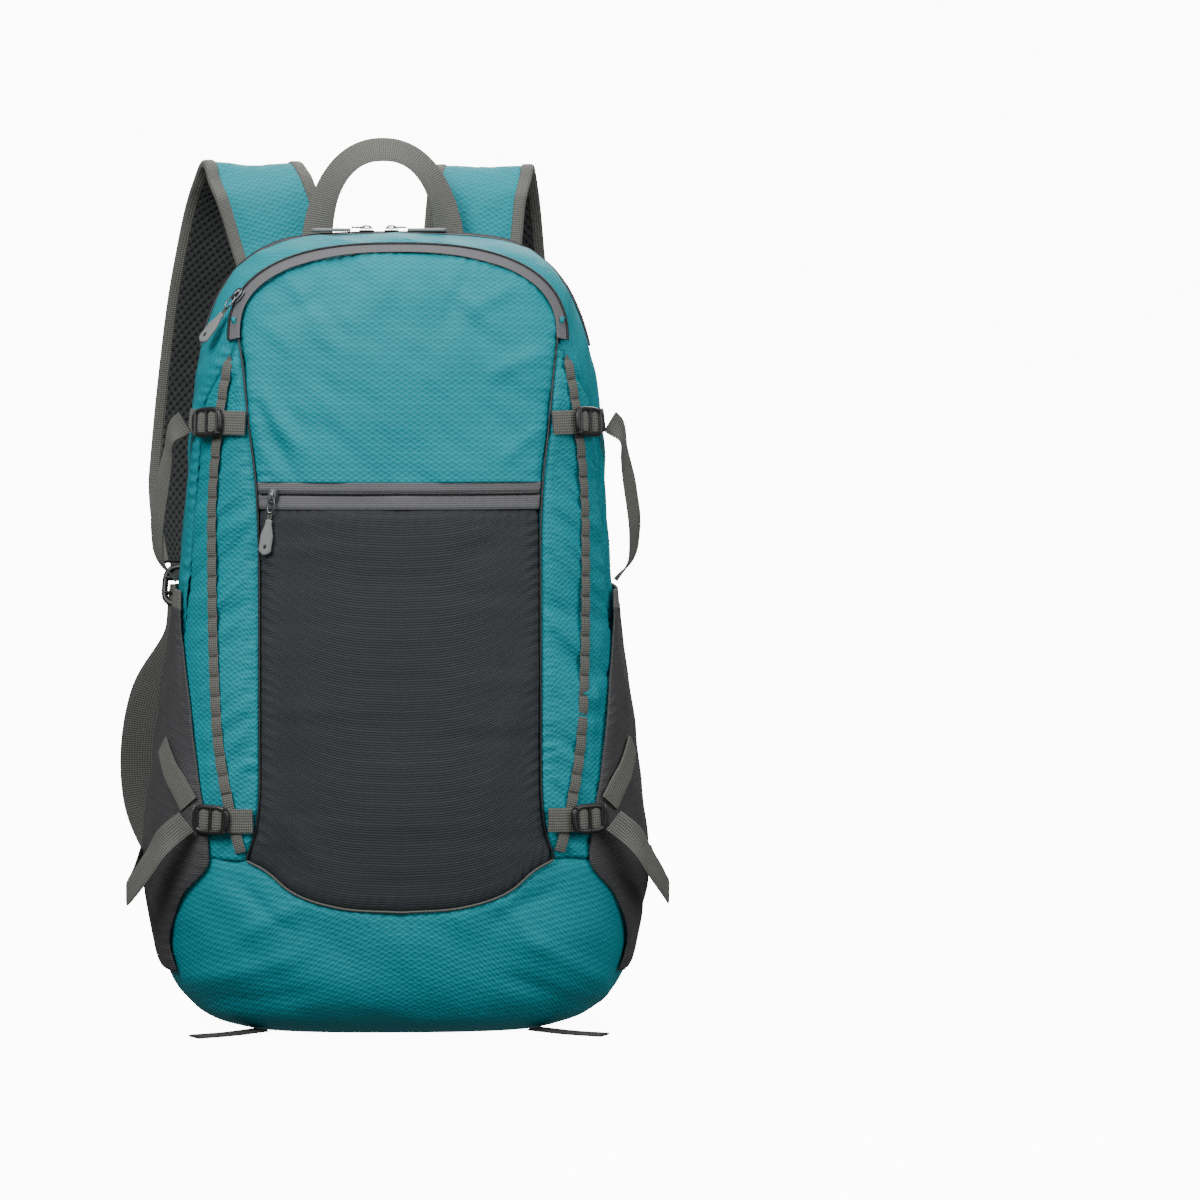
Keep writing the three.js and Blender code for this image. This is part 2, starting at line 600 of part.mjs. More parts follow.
// Lower webbing, from the buckle on the strap's foot down to the base corner, where it is sewn on.
const STRAP_WEB_PATHS = {
  left: [[-1.00, 0.38, 0.37], [-1.03, 0.22, 0.25]],
  right: [[0.70, 0.40, 0.37], [0.74, 0.24, 0.25]],
};
const WEB_FOOT_X = { left: -0.86, right: 0.72 };
const WEB_FOOT_Z = 80;
const STRAP_STEPS = 22;
for (const [side, sign] of [['left', -1], ['right', 1]]) {
  const place = ([x, y, z]) => [
    (x * BODY_W) / 2, BACK_D + STRAP_T / 2 + TRIM_GAP + y * STRAP_REACH, z * STRAP_TOP_Z,
  ];
  const path = STRAP_PATHS[side].map(place);
  const acrossEnd = [1, sign * 0.25, 0];
  addPiece(`shoulder_strap_${side}`,
    paddedStrap(path, [1, 0, 0], acrossEnd, STRAP_W, STRAP_T, STRAP_STEPS), 'shell_fabric');
  const foot = new THREE.Vector3(...path[path.length - 1]);
  const down = foot.clone().sub(new THREE.Vector3(...path[path.length - 2])).normalize();
  const right = new THREE.Vector3(...acrossEnd);
  right.addScaledVector(down, -right.dot(down)).normalize();
  const middle = foot.clone().addScaledVector(down, LADDER_H / 2 + 2 * TRIM_GAP);
  const frame = { point: middle, right, normal: right.clone().cross(down) };
  const ladder = slab(LADDER_W, LADDER_H, LADDER_T, LADDER_T, [
    [0, LADDER_H * 0.2, LADDER_W / 2 - BUCKLE_BAR, LADDER_H * 0.13],
    [0, -LADDER_H * 0.2, LADDER_W / 2 - BUCKLE_BAR, LADDER_H * 0.13],
  ]);
  addPiece(`strap_buckle_${side}`, placed(ladder, frame, -LADDER_T / 2), 'buckle_plastic');
  const webTop = foot.clone().addScaledVector(down, LADDER_H + 4 * TRIM_GAP);
  const webFoot = [(WEB_FOOT_X[side] * BODY_W) / 2, 0, WEB_FOOT_Z];
  webFoot[1] = backY(Math.abs(webFoot[0]) - STRAP_WEB_W / 2, webFoot[2]) + WEB_T / 2 + TRIM_GAP;
  const webNext = webTop.clone().addScaledVector(down, STRAP_WEB_W / 2);
  const webPath = [webTop.toArray(), webNext.toArray(), ...STRAP_WEB_PATHS[side].map(place), webFoot];
  addPiece(`strap_webbing_${side}`,
    freeStrap(webPath, [acrossEnd, [1, 0, 0]], STRAP_WEB_W, WEB_T, 14), 'webbing');
}

// Top zip, over the ridge of the body from shoulder to shoulder.
const RIDGE_Y = 14;
const TOP_ZIP_FOOT = 0.86;
const ridgeRows = BODY_ROWS.filter(([height]) => height >= TOP_ZIP_FOOT);
function ridgeStation([height, width], sign) {
  const z = height * BODY_H;
  const x = (sign * width * BODY_W) / 2;
  const up = (height - TOP_ZIP_FOOT) / (1 - TOP_ZIP_FOOT);
  const lean = THREE.MathUtils.lerp(Math.PI * 0.08, Math.PI / 2, up ** 2);
  const out = new THREE.Vector3(sign * Math.cos(lean), 0, Math.sin(lean));
  const rise = 2 * TRIM_GAP + TAPE_T / 2;
  const point = new THREE.Vector3(x, RIDGE_Y, z).addScaledVector(out, rise);
  return { point, across: new THREE.Vector3(0, 1, 0), out };
}
const ridge = [
  ...ridgeRows.map((row) => ridgeStation(row, -1)), ...ridgeRows.map((row) => ridgeStation(row, 1)).reverse(),
];
addPiece('top_zip', ribbon(ridge, ZIP_W, TAPE_T), 'zip_tape');

// Webbing loops sewn into the base seam, lying flat on the ground in front of the corners.
const LOOP_TURN = 6;
for (const [side, sign] of [['left', -1], ['right', 1]]) {
  const size = bodySizeAt(0);
  const start = [size.halfWidth * 0.89, -size.front * 0.81];
  const lineOut = [[0, 0], [0.5, -0.45], [1, -0.72]].map(([x, y]) => [
    sign * (start[0] + x * LOOP_L), start[1] + y * LOOP_L, WEB_T / 2 + 0.05,
  ]);
  addPiece(`base_loop_${side}`,
    freeStrap(lineOut, [[sign * 0.6, 0.8, 0], [sign * 0.5, 0.86, 0]], WEB_W, WEB_T, LOOP_TURN), 'webbing');
}

// Zip sliders with a wire ring, and rubber pulls hanging from them.
const SLIDERS = [
  // name, x, height, turn of the pull from straight down, lift off the body
  ['main', -ZIP_ARCH_W / 2 + 4, GUSSET_FOOT_Z + 26, -0.5, 4 * TRIM_GAP + TAPE_T],
  ['pocket', -halfPanel + 9, POCKET_TOP_Z - POCKET_ZIP_H / 2, -0.12, TRIM_GAP],
];
for (const [name, x, z, turn, lift] of SLIDERS) {
  const frame = frameAt(x, z, turn);
  const body = toSolid(placed(new THREE.BoxGeometry(SLIDER_W, SLIDER_L, SLIDER_T), frame, lift + SLIDER_T / 2));
  const arm = new THREE.BoxGeometry(SLIDER_W * 0.4, RING_L, SLIDER_T * 0.4);
  arm.translate(0, SLIDER_L / 2 + RING_L / 2 - 1, 0);
  const wire = toSolid(placed(arm, frame, lift + SLIDER_T / 2));
  addPiece(`zip_slider_${name}`, toGeometry(body.add(wire)), 'zip_metal');
  const pull = slab(PULL_W, PULL_L, PULL_T, PULL_W * 0.45, []);
  pull.translate(0, SLIDER_L / 2 + RING_L + PULL_L / 2 - 1 + TRIM_GAP, 0);
  addPiece(`zip_pull_${name}`, placed(pull, frame, lift + SLIDER_T / 2 - PULL_T / 2), 'pull_rubber');
}

// The two sliders of the top zip meet near its middle, their pulls lying outwards along it.
for (const [side, sign] of [['left', -1], ['right', 1]]) {
  const x = HANDLE_X - 4 + sign * (SLIDER_L / 2 + 3);
  const z = BODY_H + 3 * TRIM_GAP + TAPE_T;
  const [halfL, halfW] = [SLIDER_L / 2, SLIDER_W / 2];
  const body = block(x - halfL, x + halfL, RIDGE_Y - halfW, RIDGE_Y + halfW, z, z + SLIDER_T);
  const near = x + (sign * SLIDER_L) / 2;
  const far = near + sign * RING_L * 0.6;
  const [low, high] = [Math.min(near - sign, far), Math.max(near - sign, far)];
  const arm = block(low, high, RIDGE_Y - SLIDER_W * 0.2, RIDGE_Y + SLIDER_W * 0.2, z, z + SLIDER_T * 0.4);
  addPiece(`zip_slider_top_${side}`, toGeometry(body.add(arm)), 'zip_metal');
  const pull = slab(PULL_L, PULL_W, PULL_T, PULL_W * 0.45, []);
  pull.translate(far + sign * (PULL_L / 2 + TRIM_GAP), RIDGE_Y, z);
  addPiece(`zip_pull_top_${side}`, outward(pull), 'pull_rubber');
}

export default backpack;
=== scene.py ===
import math
import bpy
import numpy as np
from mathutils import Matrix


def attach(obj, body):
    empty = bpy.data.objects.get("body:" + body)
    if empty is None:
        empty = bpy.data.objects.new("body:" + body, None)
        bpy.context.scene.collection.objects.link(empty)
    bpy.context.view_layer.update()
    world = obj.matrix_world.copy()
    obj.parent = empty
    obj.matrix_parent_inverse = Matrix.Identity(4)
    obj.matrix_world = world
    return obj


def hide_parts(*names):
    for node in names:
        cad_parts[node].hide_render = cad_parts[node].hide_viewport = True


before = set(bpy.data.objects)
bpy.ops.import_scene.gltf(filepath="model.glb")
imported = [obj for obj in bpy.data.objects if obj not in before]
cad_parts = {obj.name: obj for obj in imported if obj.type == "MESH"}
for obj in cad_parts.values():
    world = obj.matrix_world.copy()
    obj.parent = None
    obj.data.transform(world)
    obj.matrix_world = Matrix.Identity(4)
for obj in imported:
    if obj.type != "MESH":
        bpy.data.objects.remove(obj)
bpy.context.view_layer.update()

# Base panel: one piece of teal ripstop that wraps the foot of the bag and turns under it.
# It is cut with a dip in the middle, where the front pocket's curved foot is sewn to it.
MM = 0.001
TALL, HALF_WIDE, FRONT_DEEP, BACK_DEEP = 500, 157, 96, 62
PANEL_HALF, BASE_SEAM, BACK_SEAM = 87.5, 113, 44
ROWS = np.array([
    (0, .62, .56, .84), (.012, .74, .70, .90), (.036, .85, .83, .95), (.064, .915, .91, .97),
    (.115, .965, .97, .99), (.170, .992, 1, 1), (.225, 1, 1.01, 1), (.290, .98, 1.01, 1),
    (.350, .955, .99, 1), (.420, .93, .97, 1), (.5, .895, .94, 1), (.58, .872, .90, 1),
    (.66, .852, .86, 1), (.74, .838, .81, 1), (.8, .816, .77, .99), (.86, .783, .71, .97),
    (.905, .738, .64, .94), (.94, .68, .57, .90), (.966, .605, .49, .84), (.985, .51, .39, .74),
    (.996, .40, .27, .60), (1, .28, .16, .45), (1.004, .02, .02, .02)])
POCKET_EDGE = np.array([(0, .875), (.08, .905), (.21, .85), (.31, .745), (.53, .79), (.71, .822), (.87, .85),
                        (1, .856)]) * (240, HALF_WIDE) + (38, 0)
FOOT = np.array([(0, 1), (.46, .9), (.78, .6), (.96, .2), (1.1, 0)]) * (PANEL_HALF, -32) + (0, BASE_SEAM)


def through(xs, ys, x):
    """A smooth curve through points that never swings past them."""
    h, d = np.diff(xs), np.diff(ys) / np.diff(xs)
    m = np.concatenate([d[:1], np.where(d[:-1] * d[1:] > 0, (d[:-1] + d[1:]) / 2, 0), d[-1:]])
    m = np.clip(m, -3 * np.minimum(*np.abs([np.r_[d[0], d], np.r_[d, d[-1]]])),
                3 * np.minimum(*np.abs([np.r_[d[0], d], np.r_[d, d[-1]]])))
    x = np.clip(x, xs[0], xs[-1])
    i = np.clip(np.searchsorted(xs, x) - 1, 0, len(h) - 1)
    t = (x - xs[i]) / h[i]
    return (ys[i] * (1 + 2 * t) * (1 - t) ** 2 + h[i] * m[i] * t * (1 - t) ** 2
            + ys[i + 1] * t * t * (3 - 2 * t) + h[i] * m[i + 1] * t * t * (t - 1))


def size(z):
    """Half width, front depth and back depth of the filled bag at a height."""
    return [through(ROWS[:, 0] * TALL, ROWS[:, k] * full, z)
            for k, full in ((1, HALF_WIDE), (2, FRONT_DEEP), (3, BACK_DEEP))]


def grid(*axes):
    return np.stack(np.broadcast_arrays(*[np.asarray(a, float) for a in axes]), -1)


def skin(centre, point, rise=0):
    """Where rays from inside the bag, through points, leave it."""
    way = point - centre
    way = way / np.linalg.norm(way, axis=-1, keepdims=True)
    low, high = np.zeros(way.shape[:-1]), np.full(way.shape[:-1], 420.0)
    for _ in range(26):
        middle = (low + high) / 2
        p = centre + way * middle[..., None]
        w, f, b = size(p[..., 2])
        out = np.where(p[..., 1] < 0, (np.abs(p[..., 0]) / w) ** 2.7 + (np.abs(p[..., 1]) / f) ** 2.7,
                       (np.abs(p[..., 0]) / w) ** 4.5 + (np.abs(p[..., 1]) / b) ** 4.5) > 1
        out |= (p[..., 2] > 502) | (p[..., 2] < 0)
        low, high = np.where(out, low, middle), np.where(out, middle, high)
    return centre + way * (low + rise)[..., None]


def rough(seed, x, y):
    """Smooth random heights from -1 to 1 over a plane, one bump to each unit."""
    table = np.random.default_rng(seed).uniform(-1, 1, (64, 64))
    i, j = np.floor(x).astype(int), np.floor(y).astype(int)
    u, v = x - i, y - j
    u, v = u * u * (3 - 2 * u), v * v * (3 - 2 * v)
    at = lambda a, b: table[a % 64, b % 64]
    return (at(i, j) * (1 - u) * (1 - v) + at(i + 1, j) * u * (1 - v)
            + at(i, j + 1) * (1 - u) * v + at(i + 1, j + 1) * u * v)


def facing(points):
    """The way out at each point of a grid whose columns run to the right of its rows."""
    across, up = np.gradient(points, axis=1), np.gradient(points, axis=0)
    out = np.cross(across, up)
    return out / np.maximum(np.linalg.norm(out, axis=-1, keepdims=True), 1e-9)


def lengths(points, axis):
    step = np.linalg.norm(np.diff(points, axis=axis), axis=-1)
    pad = [(0, 0), (0, 0)]
    pad[axis] = (1, 0)
    return np.cumsum(np.pad(step, pad), axis=axis)


def seam_drop(points, sides="lrtb", depth=1.3, reach=3.2, pucker=0.5, seed=1):
    """How cloth sinks at its sewn sides, in mm, with small puckers where the thread draws it."""
    along, up = lengths(points, 1), lengths(points, 0)
    gaps = {"l": (along, up), "r": (along[:, -1:] - along, up), "b": (up, along), "t": (up[-1:] - up, along)}
    drop = np.zeros(along.shape)
    for k, side in enumerate(sides):
        gap, run = gaps[side]
        drop -= depth * np.exp(-(gap / reach) ** 2)
        wave = np.sin(run / 1.15 + 3 * rough(seed + k, run / 17, gap / 40))
        wave *= 1 + rough(seed + 9, run / 23, gap / 30)
        drop += pucker * wave * np.exp(-((gap - 4) / 6) ** 2)
    return drop


def wear(obj, slot, finish, *nodes):
    """Ties a finished piece to the bag's one body and the solids it stands for; its slot is not used."""
    obj.data.materials.clear()
    obj.data.materials.append(finish)
    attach(obj, "root")
    if nodes:
        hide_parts(*nodes)
    return obj


def under_pocket(points, sag):
    """Cloth that lies behind a side pocket is pressed flat."""
    x, z = np.abs(points[..., 0]), points[..., 2]
    edge = through(POCKET_EDGE[:, 0], POCKET_EDGE[:, 1], z)
    press = np.clip((x - edge + 7) / 6, 0, 1) * np.clip((284 - z) / 6, 0, 1)
    return sag * (1 - press) + np.minimum(sag, -.2) * press


def cloth(name, points, drop, slot, finish, *nodes, thick=1.2, round_way=False):
    """A sewn panel from a grid of points in mm, sunk or raised by drop, with its wall inward."""
    rows, columns = points.shape[:2]
    points = points + facing(points) * drop[..., None]
    points[..., 2] = np.maximum(points[..., 2], .2)
    bpy.ops.object.select_all(action="DESELECT")
    bpy.ops.mesh.primitive_grid_add(x_subdivisions=columns - 1, y_subdivisions=rows - 1, size=1)
    obj = bpy.context.object
    obj.name = name
    mesh = obj.data
    mesh.vertices.foreach_set("co", (points * MM).ravel())
    flat = np.stack([lengths(points, 1), lengths(points, 0)], -1).reshape(-1, 2) * MM
    flat[:, 0] -= np.repeat(lengths(points, 1)[:, columns // 2], columns) * MM
    corner = np.empty(len(mesh.loops), int)
    mesh.loops.foreach_get("vertex_index", corner)
    mesh.uv_layers[0].data.foreach_set("uv", flat[corner].ravel())
    if round_way:
        bpy.ops.object.mode_set(mode="EDIT")
        bpy.ops.mesh.select_all(action="SELECT")
        bpy.ops.mesh.remove_doubles(threshold=0.00002)
        bpy.ops.mesh.normals_make_consistent(inside=False)
        bpy.ops.object.mode_set(mode="OBJECT")
    wall = obj.modifiers.new("wall", "SOLIDIFY")
    wall.thickness = thick * MM
    wall.offset = -1
    bpy.ops.object.modifier_apply(modifier="wall")
    bpy.ops.object.shade_smooth()
    return wear(obj, slot, finish, *nodes)


def folds(points, lines):
    """Ridges and valleys seen from the front: ends x, z, x, z, half width and height in mm."""
    x, z = points[..., 0], points[..., 2]
    height = np.zeros(x.shape)
    for x0, z0, x1, z1, wide, high in lines:
        run = math.hypot(x1 - x0, z1 - z0)
        t = ((x - x0) * (x1 - x0) + (z - z0) * (z1 - z0)) / run ** 2
        off = ((x - x0) * (z1 - z0) - (z - z0) * (x1 - x0)) / run + wide * rough(7, t * 4, x * 0)
        height += high * np.exp(-(off / wide) ** 2) * np.exp(-np.maximum(np.abs(t - .5) - .25, 0) ** 2 * 18)
    return height


class Net:
    """A shader socket that takes part in arithmetic. Any other node comes from make."""

    def __init__(self, tree, socket):
        self.tree, self.socket = tree, socket

    def plug(self, place, value):
        if isinstance(value, Net):
            self.tree.links.new(value.socket, place)
        else:
            place.default_value = value

    def make(self, kind, *values, out=0, **named):
        node = self.tree.nodes.new("ShaderNode" + kind)
        for key, value in named.items():
            if key[0].isupper():
                self.plug(node.inputs[key.replace("_", " ")], value)
            else:
                setattr(node, key, value)
        for place, value in zip(node.inputs, values):
            self.plug(place, value)
        return Net(self.tree, node.outputs[out])

    def maths(self, operation, *values):
        return self.make("Math", *values, operation=operation)

    def __add__(self, other): return self.maths("ADD", self, other)
    def __radd__(self, other): return self.maths("ADD", other, self)
    def __sub__(self, other): return self.maths("SUBTRACT", self, other)
    def __rsub__(self, other): return self.maths("SUBTRACT", other, self)
    def __mul__(self, other): return self.maths("MULTIPLY", self, other)
    def __rmul__(self, other): return self.maths("MULTIPLY", other, self)
    def __truediv__(self, other): return self.maths("DIVIDE", self, other)
    def __pow__(self, other): return self.maths("POWER", self, other)
    def __abs__(self): return self.maths("ABSOLUTE", self)
    def wave(self, pitch): return self.maths("SINE", self * (2 * math.pi / pitch))
    def clean(self): return self.make("Clamp", self)


def ink(red, green, blue):
    """A colour as it looks on a screen, turned to the light it sends back."""
    screen = [c / 255 for c in (red, green, blue)]
    return tuple(c / 12.92 if c < .04 else ((c + .055) / 1.055) ** 2.4 for c in screen) + (1,)


def material(name, colour, height, tint=.3, gloss=.6, bump=.0003, mottle=.08, **fixed):
    """A finish from a height over its own flat metres x and y: it shades, tints and roughens."""
    made = bpy.data.materials.new(name)
    made.use_nodes = True
    tree = made.node_tree
    shader = tree.nodes["Principled BSDF"]
    place = Net(tree, tree.nodes.new("ShaderNodeTexCoord").outputs["Object"])
    flat = Net(tree, tree.nodes.new("ShaderNodeUVMap").outputs[0])
    x, y = flat.make("SeparateXYZ", flat), flat.make("SeparateXYZ", flat, out=1)
    cloud = place.make("TexNoise", Vector=place, Scale=14.0, Detail=4.0)
    dust = place.make("TexNoise", Vector=place, Scale=1500.0, Detail=1.0)
    h = height(x, y, place)
    tone = 1.0 + (h - .5) * tint + (cloud - .5) * (2 * mottle) + (dust - .5) * (mottle * 1.6)
    shade = place.make("VectorMath", colour[:3], operation="SCALE", Scale=tone)
    normal = place.make("Bump", Strength=1.0, Distance=bump, Height=h + (dust - .5) * .3)
    place.plug(shader.inputs["Base Color"], shade)
    place.plug(shader.inputs["Roughness"], (gloss + (cloud - .5) * .16 - (h - .5) * .12).clean())
    place.plug(shader.inputs["Normal"], normal)
    for key, value in fixed.items():
        shader.inputs[key.replace("_", " ")].default_value = value
    return made


def dobby(x, y, place):
    """Ripstop: small staggered floats on a plain ground, with a heavier thread every few rows."""
    floats = (x.wave(.0052) * y.wave(.0033)) * .5 + .5
    threads = x.wave(.0009) * y.wave(.0007) * .5 + .5
    heavy = abs(y.wave(.0104)) ** 14.0
    return (floats * .62 + threads * .22 + heavy * .2).clean()


teal = material("teal_ripstop", ink(2, 138, 150), dobby, tint=.5, gloss=.55, bump=.0005, Specular_IOR_Level=.3)

turn = np.linspace(0, 1, 241)[None, :]
up = np.linspace(0, 1, 71)[:, None]
level = up * np.ones_like(turn) * BASE_SEAM
for _ in range(3):
    w, _, b = size(level)
    side = w * (1 - (BACK_SEAM / np.maximum(b, 44.5)) ** 4.5) ** (1 / 4.5)
    start = np.arctan2(34, side)
    angle = math.pi - start + (math.pi + 2 * start) * turn
    base = skin(grid(0, 10, level), grid(np.cos(angle) * 50, 10 + np.sin(angle) * 50, level))
    level = up * through(FOOT[:, 0], FOOT[:, 1], np.abs(base[..., 0]))
under = np.linspace(0, 1, 16)[:-1, None, None]
base = np.concatenate([np.array([0.0, 0.0, 0.0]) * (1 - under) + base[:1] * under, base], 0)
x, z = base[..., 0], base[..., 2]
firm = np.clip(z / 14, 0, 1)
sag = seam_drop(base, "t", depth=1.6, pucker=.45, seed=3) + firm * (
    1.5 * rough(11, x / 46, z / 30) + .8 * rough(12, (x + z) / 19, (x - z) / 40)
    + folds(base, [(-140, 30, -60, 62, 7, 1.6), (-128, 18, -52, 36, 6, -1.4), (140, 28, 66, 60, 7, 1.6),
                   (126, 16, 58, 34, 6, -1.4), (-60, 88, -98, 58, 6, 1.2), (60, 88, 98, 58, 6, 1.2),
                   (-100, 96, -60, 70, 5, -1.1), (100, 96, 60, 70, 5, -1.1), (-30, 22, 34, 15, 8, 1.0)]))
cloth("base_cloth", base, under_pocket(base, sag), "shell_fabric", teal, "base_panel")

# Front pocket: dark grey cloth from the zip down to the curved foot, sewn in at both sides, with
# a straight zip across its head on a grey tape of its own.
EDGE = np.array([(.226, 1.10), (.264, 1.03), (.34, 1), (.592, 1), (.692, 1.02), (.768, 1.07),
                 (.838, 1.11), (.92, 1.18)]) * (TALL, PANEL_HALF)
half = np.linspace(-1, 1, 121)[None, :]


def front_y(x, z):
    w, f, _ = size(z)
    return -f * np.maximum(1 - np.minimum(np.abs(x) / w, 1) ** 2.7, 0) ** (1 / 2.7)


def face(low, high, count, squeeze=1.0):
    """A grid on the bag's front between the two seams beside the front panel."""
    v = np.linspace(0, 1, count)[:, None]
    zz = low + (high - low) * v + 0 * half
    xx = half * through(EDGE[:, 0], EDGE[:, 1], zz) * squeeze
    return grid(xx, front_y(xx, zz), zz)


def fine(x, y, place):
    rows = y.wave(.0016) * .5 + .5
    threads = x.wave(.0011) * y.wave(.0008) * .5 + .5
    return (rows * .45 + threads * .35 + (abs(y.wave(.0128)) ** 20.0) * .25).clean()


def ribs(x, y, place):
    """Narrow woven webbing: picks across it, and a few warp ribs along it."""
    return ((abs(y.wave(.0028)) ** .6) * .62 + (x.wave(.0017) * .5 + .5) * .38).clean()


grey_cloth = material("grey_ripstop", ink(46, 50, 53), fine, tint=.45, gloss=.62, bump=.0004,
                      Specular_IOR_Level=.3)
tape_cloth = material("zip_tape_weave", ink(96, 96, 99), ribs, tint=.3, gloss=.7, bump=.0003)
pocket = face(through(FOOT[:, 0], FOOT[:, 1], np.abs(half) * 96.2), 331, 151)
x, z = pocket[..., 0], pocket[..., 2]
sag = (seam_drop(pocket, "lrbt", depth=1.4, pucker=.3, seed=20) + .9 * rough(21, x / 50, z / 70)
       + .35 * rough(22, x / 60, z / 9) + folds(pocket, [(-80, 300, -50, 180, 9, .9), (84, 250, 60, 130, 9, .8),
                                                        (-84, 150, -40, 110, 7, .8), (80, 325, 40, 290, 8, -.7)]))
cloth("pocket_cloth", pocket, sag, "grey_fabric", grey_cloth, "front_pocket")

ZIP_LINE = 341.2
zip_band = face(331, 348, 25)
lane = np.abs(zip_band[..., 2] - ZIP_LINE)
sag = (seam_drop(zip_band, "lrb", depth=.9, reach=1.2, pucker=.12, seed=30)
       + .5 * rough(31, x[:25] / 22, zip_band[..., 2] / 30)
       - 1.1 * np.exp(-(lane / 1.5) ** 4))
cloth("pocket_zip_tape", zip_band, sag, "zip_tape", tape_cloth, "pocket_zip")

# Front panel: the large teal face above the pocket, up to the main zip's arch.
arch = lambda x: 436 + 56 * np.maximum(1 - (np.abs(x) / 102) ** 2.5, 0) ** .4
panel = face(348, arch(half * 100.6), 131)
x, z = panel[..., 0], panel[..., 2]
crown = np.clip((z - 430) / 50, 0, 1)
sag = (seam_drop(panel, "lrt", depth=1.7, pucker=.5, seed=40) + 1.6 * rough(41, x / 52, z / 44)
       + 1.0 * rough(42, (x - z) / 30, (x + z) / 14) + .8 * crown * rough(43, x / 13, z / 60)
       + folds(panel, [(-92, 412, -52, 366, 6, 1.6), (-90, 396, -60, 352, 4, -1.3), (-88, 372, -70, 352, 4, 1.1),
                       (92, 430, 58, 408, 6, 1.4), (90, 384, 66, 356, 5, 1.0), (-84, 448, -50, 470, 6, -1.2),
                       (-66, 468, -40, 448, 5, 1.2), (70, 470, 46, 446, 6, 1.2), (40, 476, 34, 440, 5, -1.0),
                       (0, 484, -6, 452, 7, .9), (-28, 480, -30, 450, 5, -.8)]))
near_zip = np.clip((lengths(panel, 0)[-1:] - lengths(panel, 0)) / 9, 0, 1)
cloth("front_cloth", panel, np.where(sag > 0, sag * near_zip, sag), "shell_fabric", teal, "front_panel")

# Side panels: narrow teal strips beside the front, gathered by their long seams.
F_ROWS = np.linspace(BASE_SEAM, 448.6, 150)


def rim_x(z):
    """Where a side panel meets the gusset."""
    w, f, _ = size(z)
    far = w * (1 - (36 / f) ** 2.7) ** (1 / 2.7)
    mix = np.clip((z - 392) / 56, 0, 1)
    mix = mix * mix * (3 - 2 * mix)
    return far * (1 - mix) + 100.7 * mix


for sign, side in ((-1, "left"), (1, "right")):
    z = F_ROWS[:, None]
    w, f, _ = size(z)
    bend = lambda xx: np.arccos(np.clip((xx / w) ** 1.35, 0, 1))
    a, b = bend(through(EDGE[:, 0], EDGE[:, 1], z)), bend(rim_x(z))
    share = np.linspace(0, 1, 41)[None, :] if sign > 0 else np.linspace(1, 0, 41)[None, :]
    theta = a + (b - a) * share
    strip = grid(sign * w * np.cos(theta) ** (2 / 2.7), -f * np.sin(theta) ** (2 / 2.7), z)
    x = np.abs(strip[..., 0])
    pull = 1.5 * rough(50 + sign, (z * 1.0 + x * .55) / 9, x / 26) + .9 * rough(52 + sign, (z + x) / 5.2, x / 14)
    calm = np.clip(np.minimum(lengths(strip, 1), lengths(strip, 1)[:, -1:] - lengths(strip, 1)) / 9, 0, 1)
    sag = seam_drop(strip, "lr", depth=1.7, pucker=.6, seed=54) + 1.15 * pull * calm + 1.1 * rough(55, z / 40, x / 60)
    cloth(f"side_cloth_{side}", strip, under_pocket(strip, sag), "shell_fabric", teal, f"side_panel_{side}")

# Gusset: one teal band from the foot of one side over the top to the other, between the main
# zip and the back panel.
z_side = np.linspace(BASE_SEAM, 448.6, 190)
x_side = rim_x(z_side)
t = np.linspace(0, math.pi, 141)[1:-1]
front_rim = np.concatenate([
    grid(-x_side, front_y(x_side, z_side), z_side),
    grid(-100.6 * np.cos(t), front_y(100.6 * np.cos(t), arch(100.6 * np.cos(t))), arch(100.6 * np.cos(t))),
    grid(x_side, front_y(x_side, z_side), z_side)[::-1]])
run = np.r_[0, np.cumsum(np.linalg.norm(np.diff(front_rim, axis=0), axis=1))]
even = np.linspace(0, run[-1], 460)
front_rim = np.stack([np.interp(even, run, front_rim[:, k]) for k in range(3)], -1)
hub = np.minimum(front_rim[:, 2], 380)
reach = grid(front_rim[:, 0] * 1.2, BACK_SEAM, hub + (front_rim[:, 2] - hub) * 1.25)
back_rim = skin(grid(0, BACK_SEAM, hub), reach)
v = np.linspace(0, 1, 46)[:, None, None]
band = front_rim * (1 - v) + back_rim * v
gusset = skin(grid(0, 0 * hub, hub), band)
gusset[0], gusset[-1] = front_rim, back_rim
s, w_run = lengths(gusset, 1), lengths(gusset, 0)
z = gusset[..., 2]
sag = (seam_drop(gusset, "tb", depth=1.8, pucker=.55, seed=60) + 1.5 * rough(61, s / 48, w_run / 40)
       + .9 * rough(62, (s + w_run * .5) / 15, w_run / 34)
       + .8 * np.clip((z - 380) / 60, 0, 1) * rough(63, s / 12, w_run / 50))
near_zip = np.clip((w_run[-1:] - w_run) / 9, 0, 1)
sag = np.where(sag > 0, sag * near_zip, sag)
sag *= 1 - np.exp(-((gusset[..., 1] - 14) / 9) ** 4) * np.clip((z - 415) / 15, 0, 1)
cloth("gusset_cloth", gusset, under_pocket(gusset, sag), "shell_fabric", teal, "gusset")

# Back panel: black spacer mesh over thin foam, quilted in two upright pads.

def spacer(x, y, place):
    """Knitted mesh with staggered open holes."""
    holes = (x.wave(.0048) * y.wave(.0062)) * .5 + .5
    return (1.0 - (holes ** 3.0)).clean()


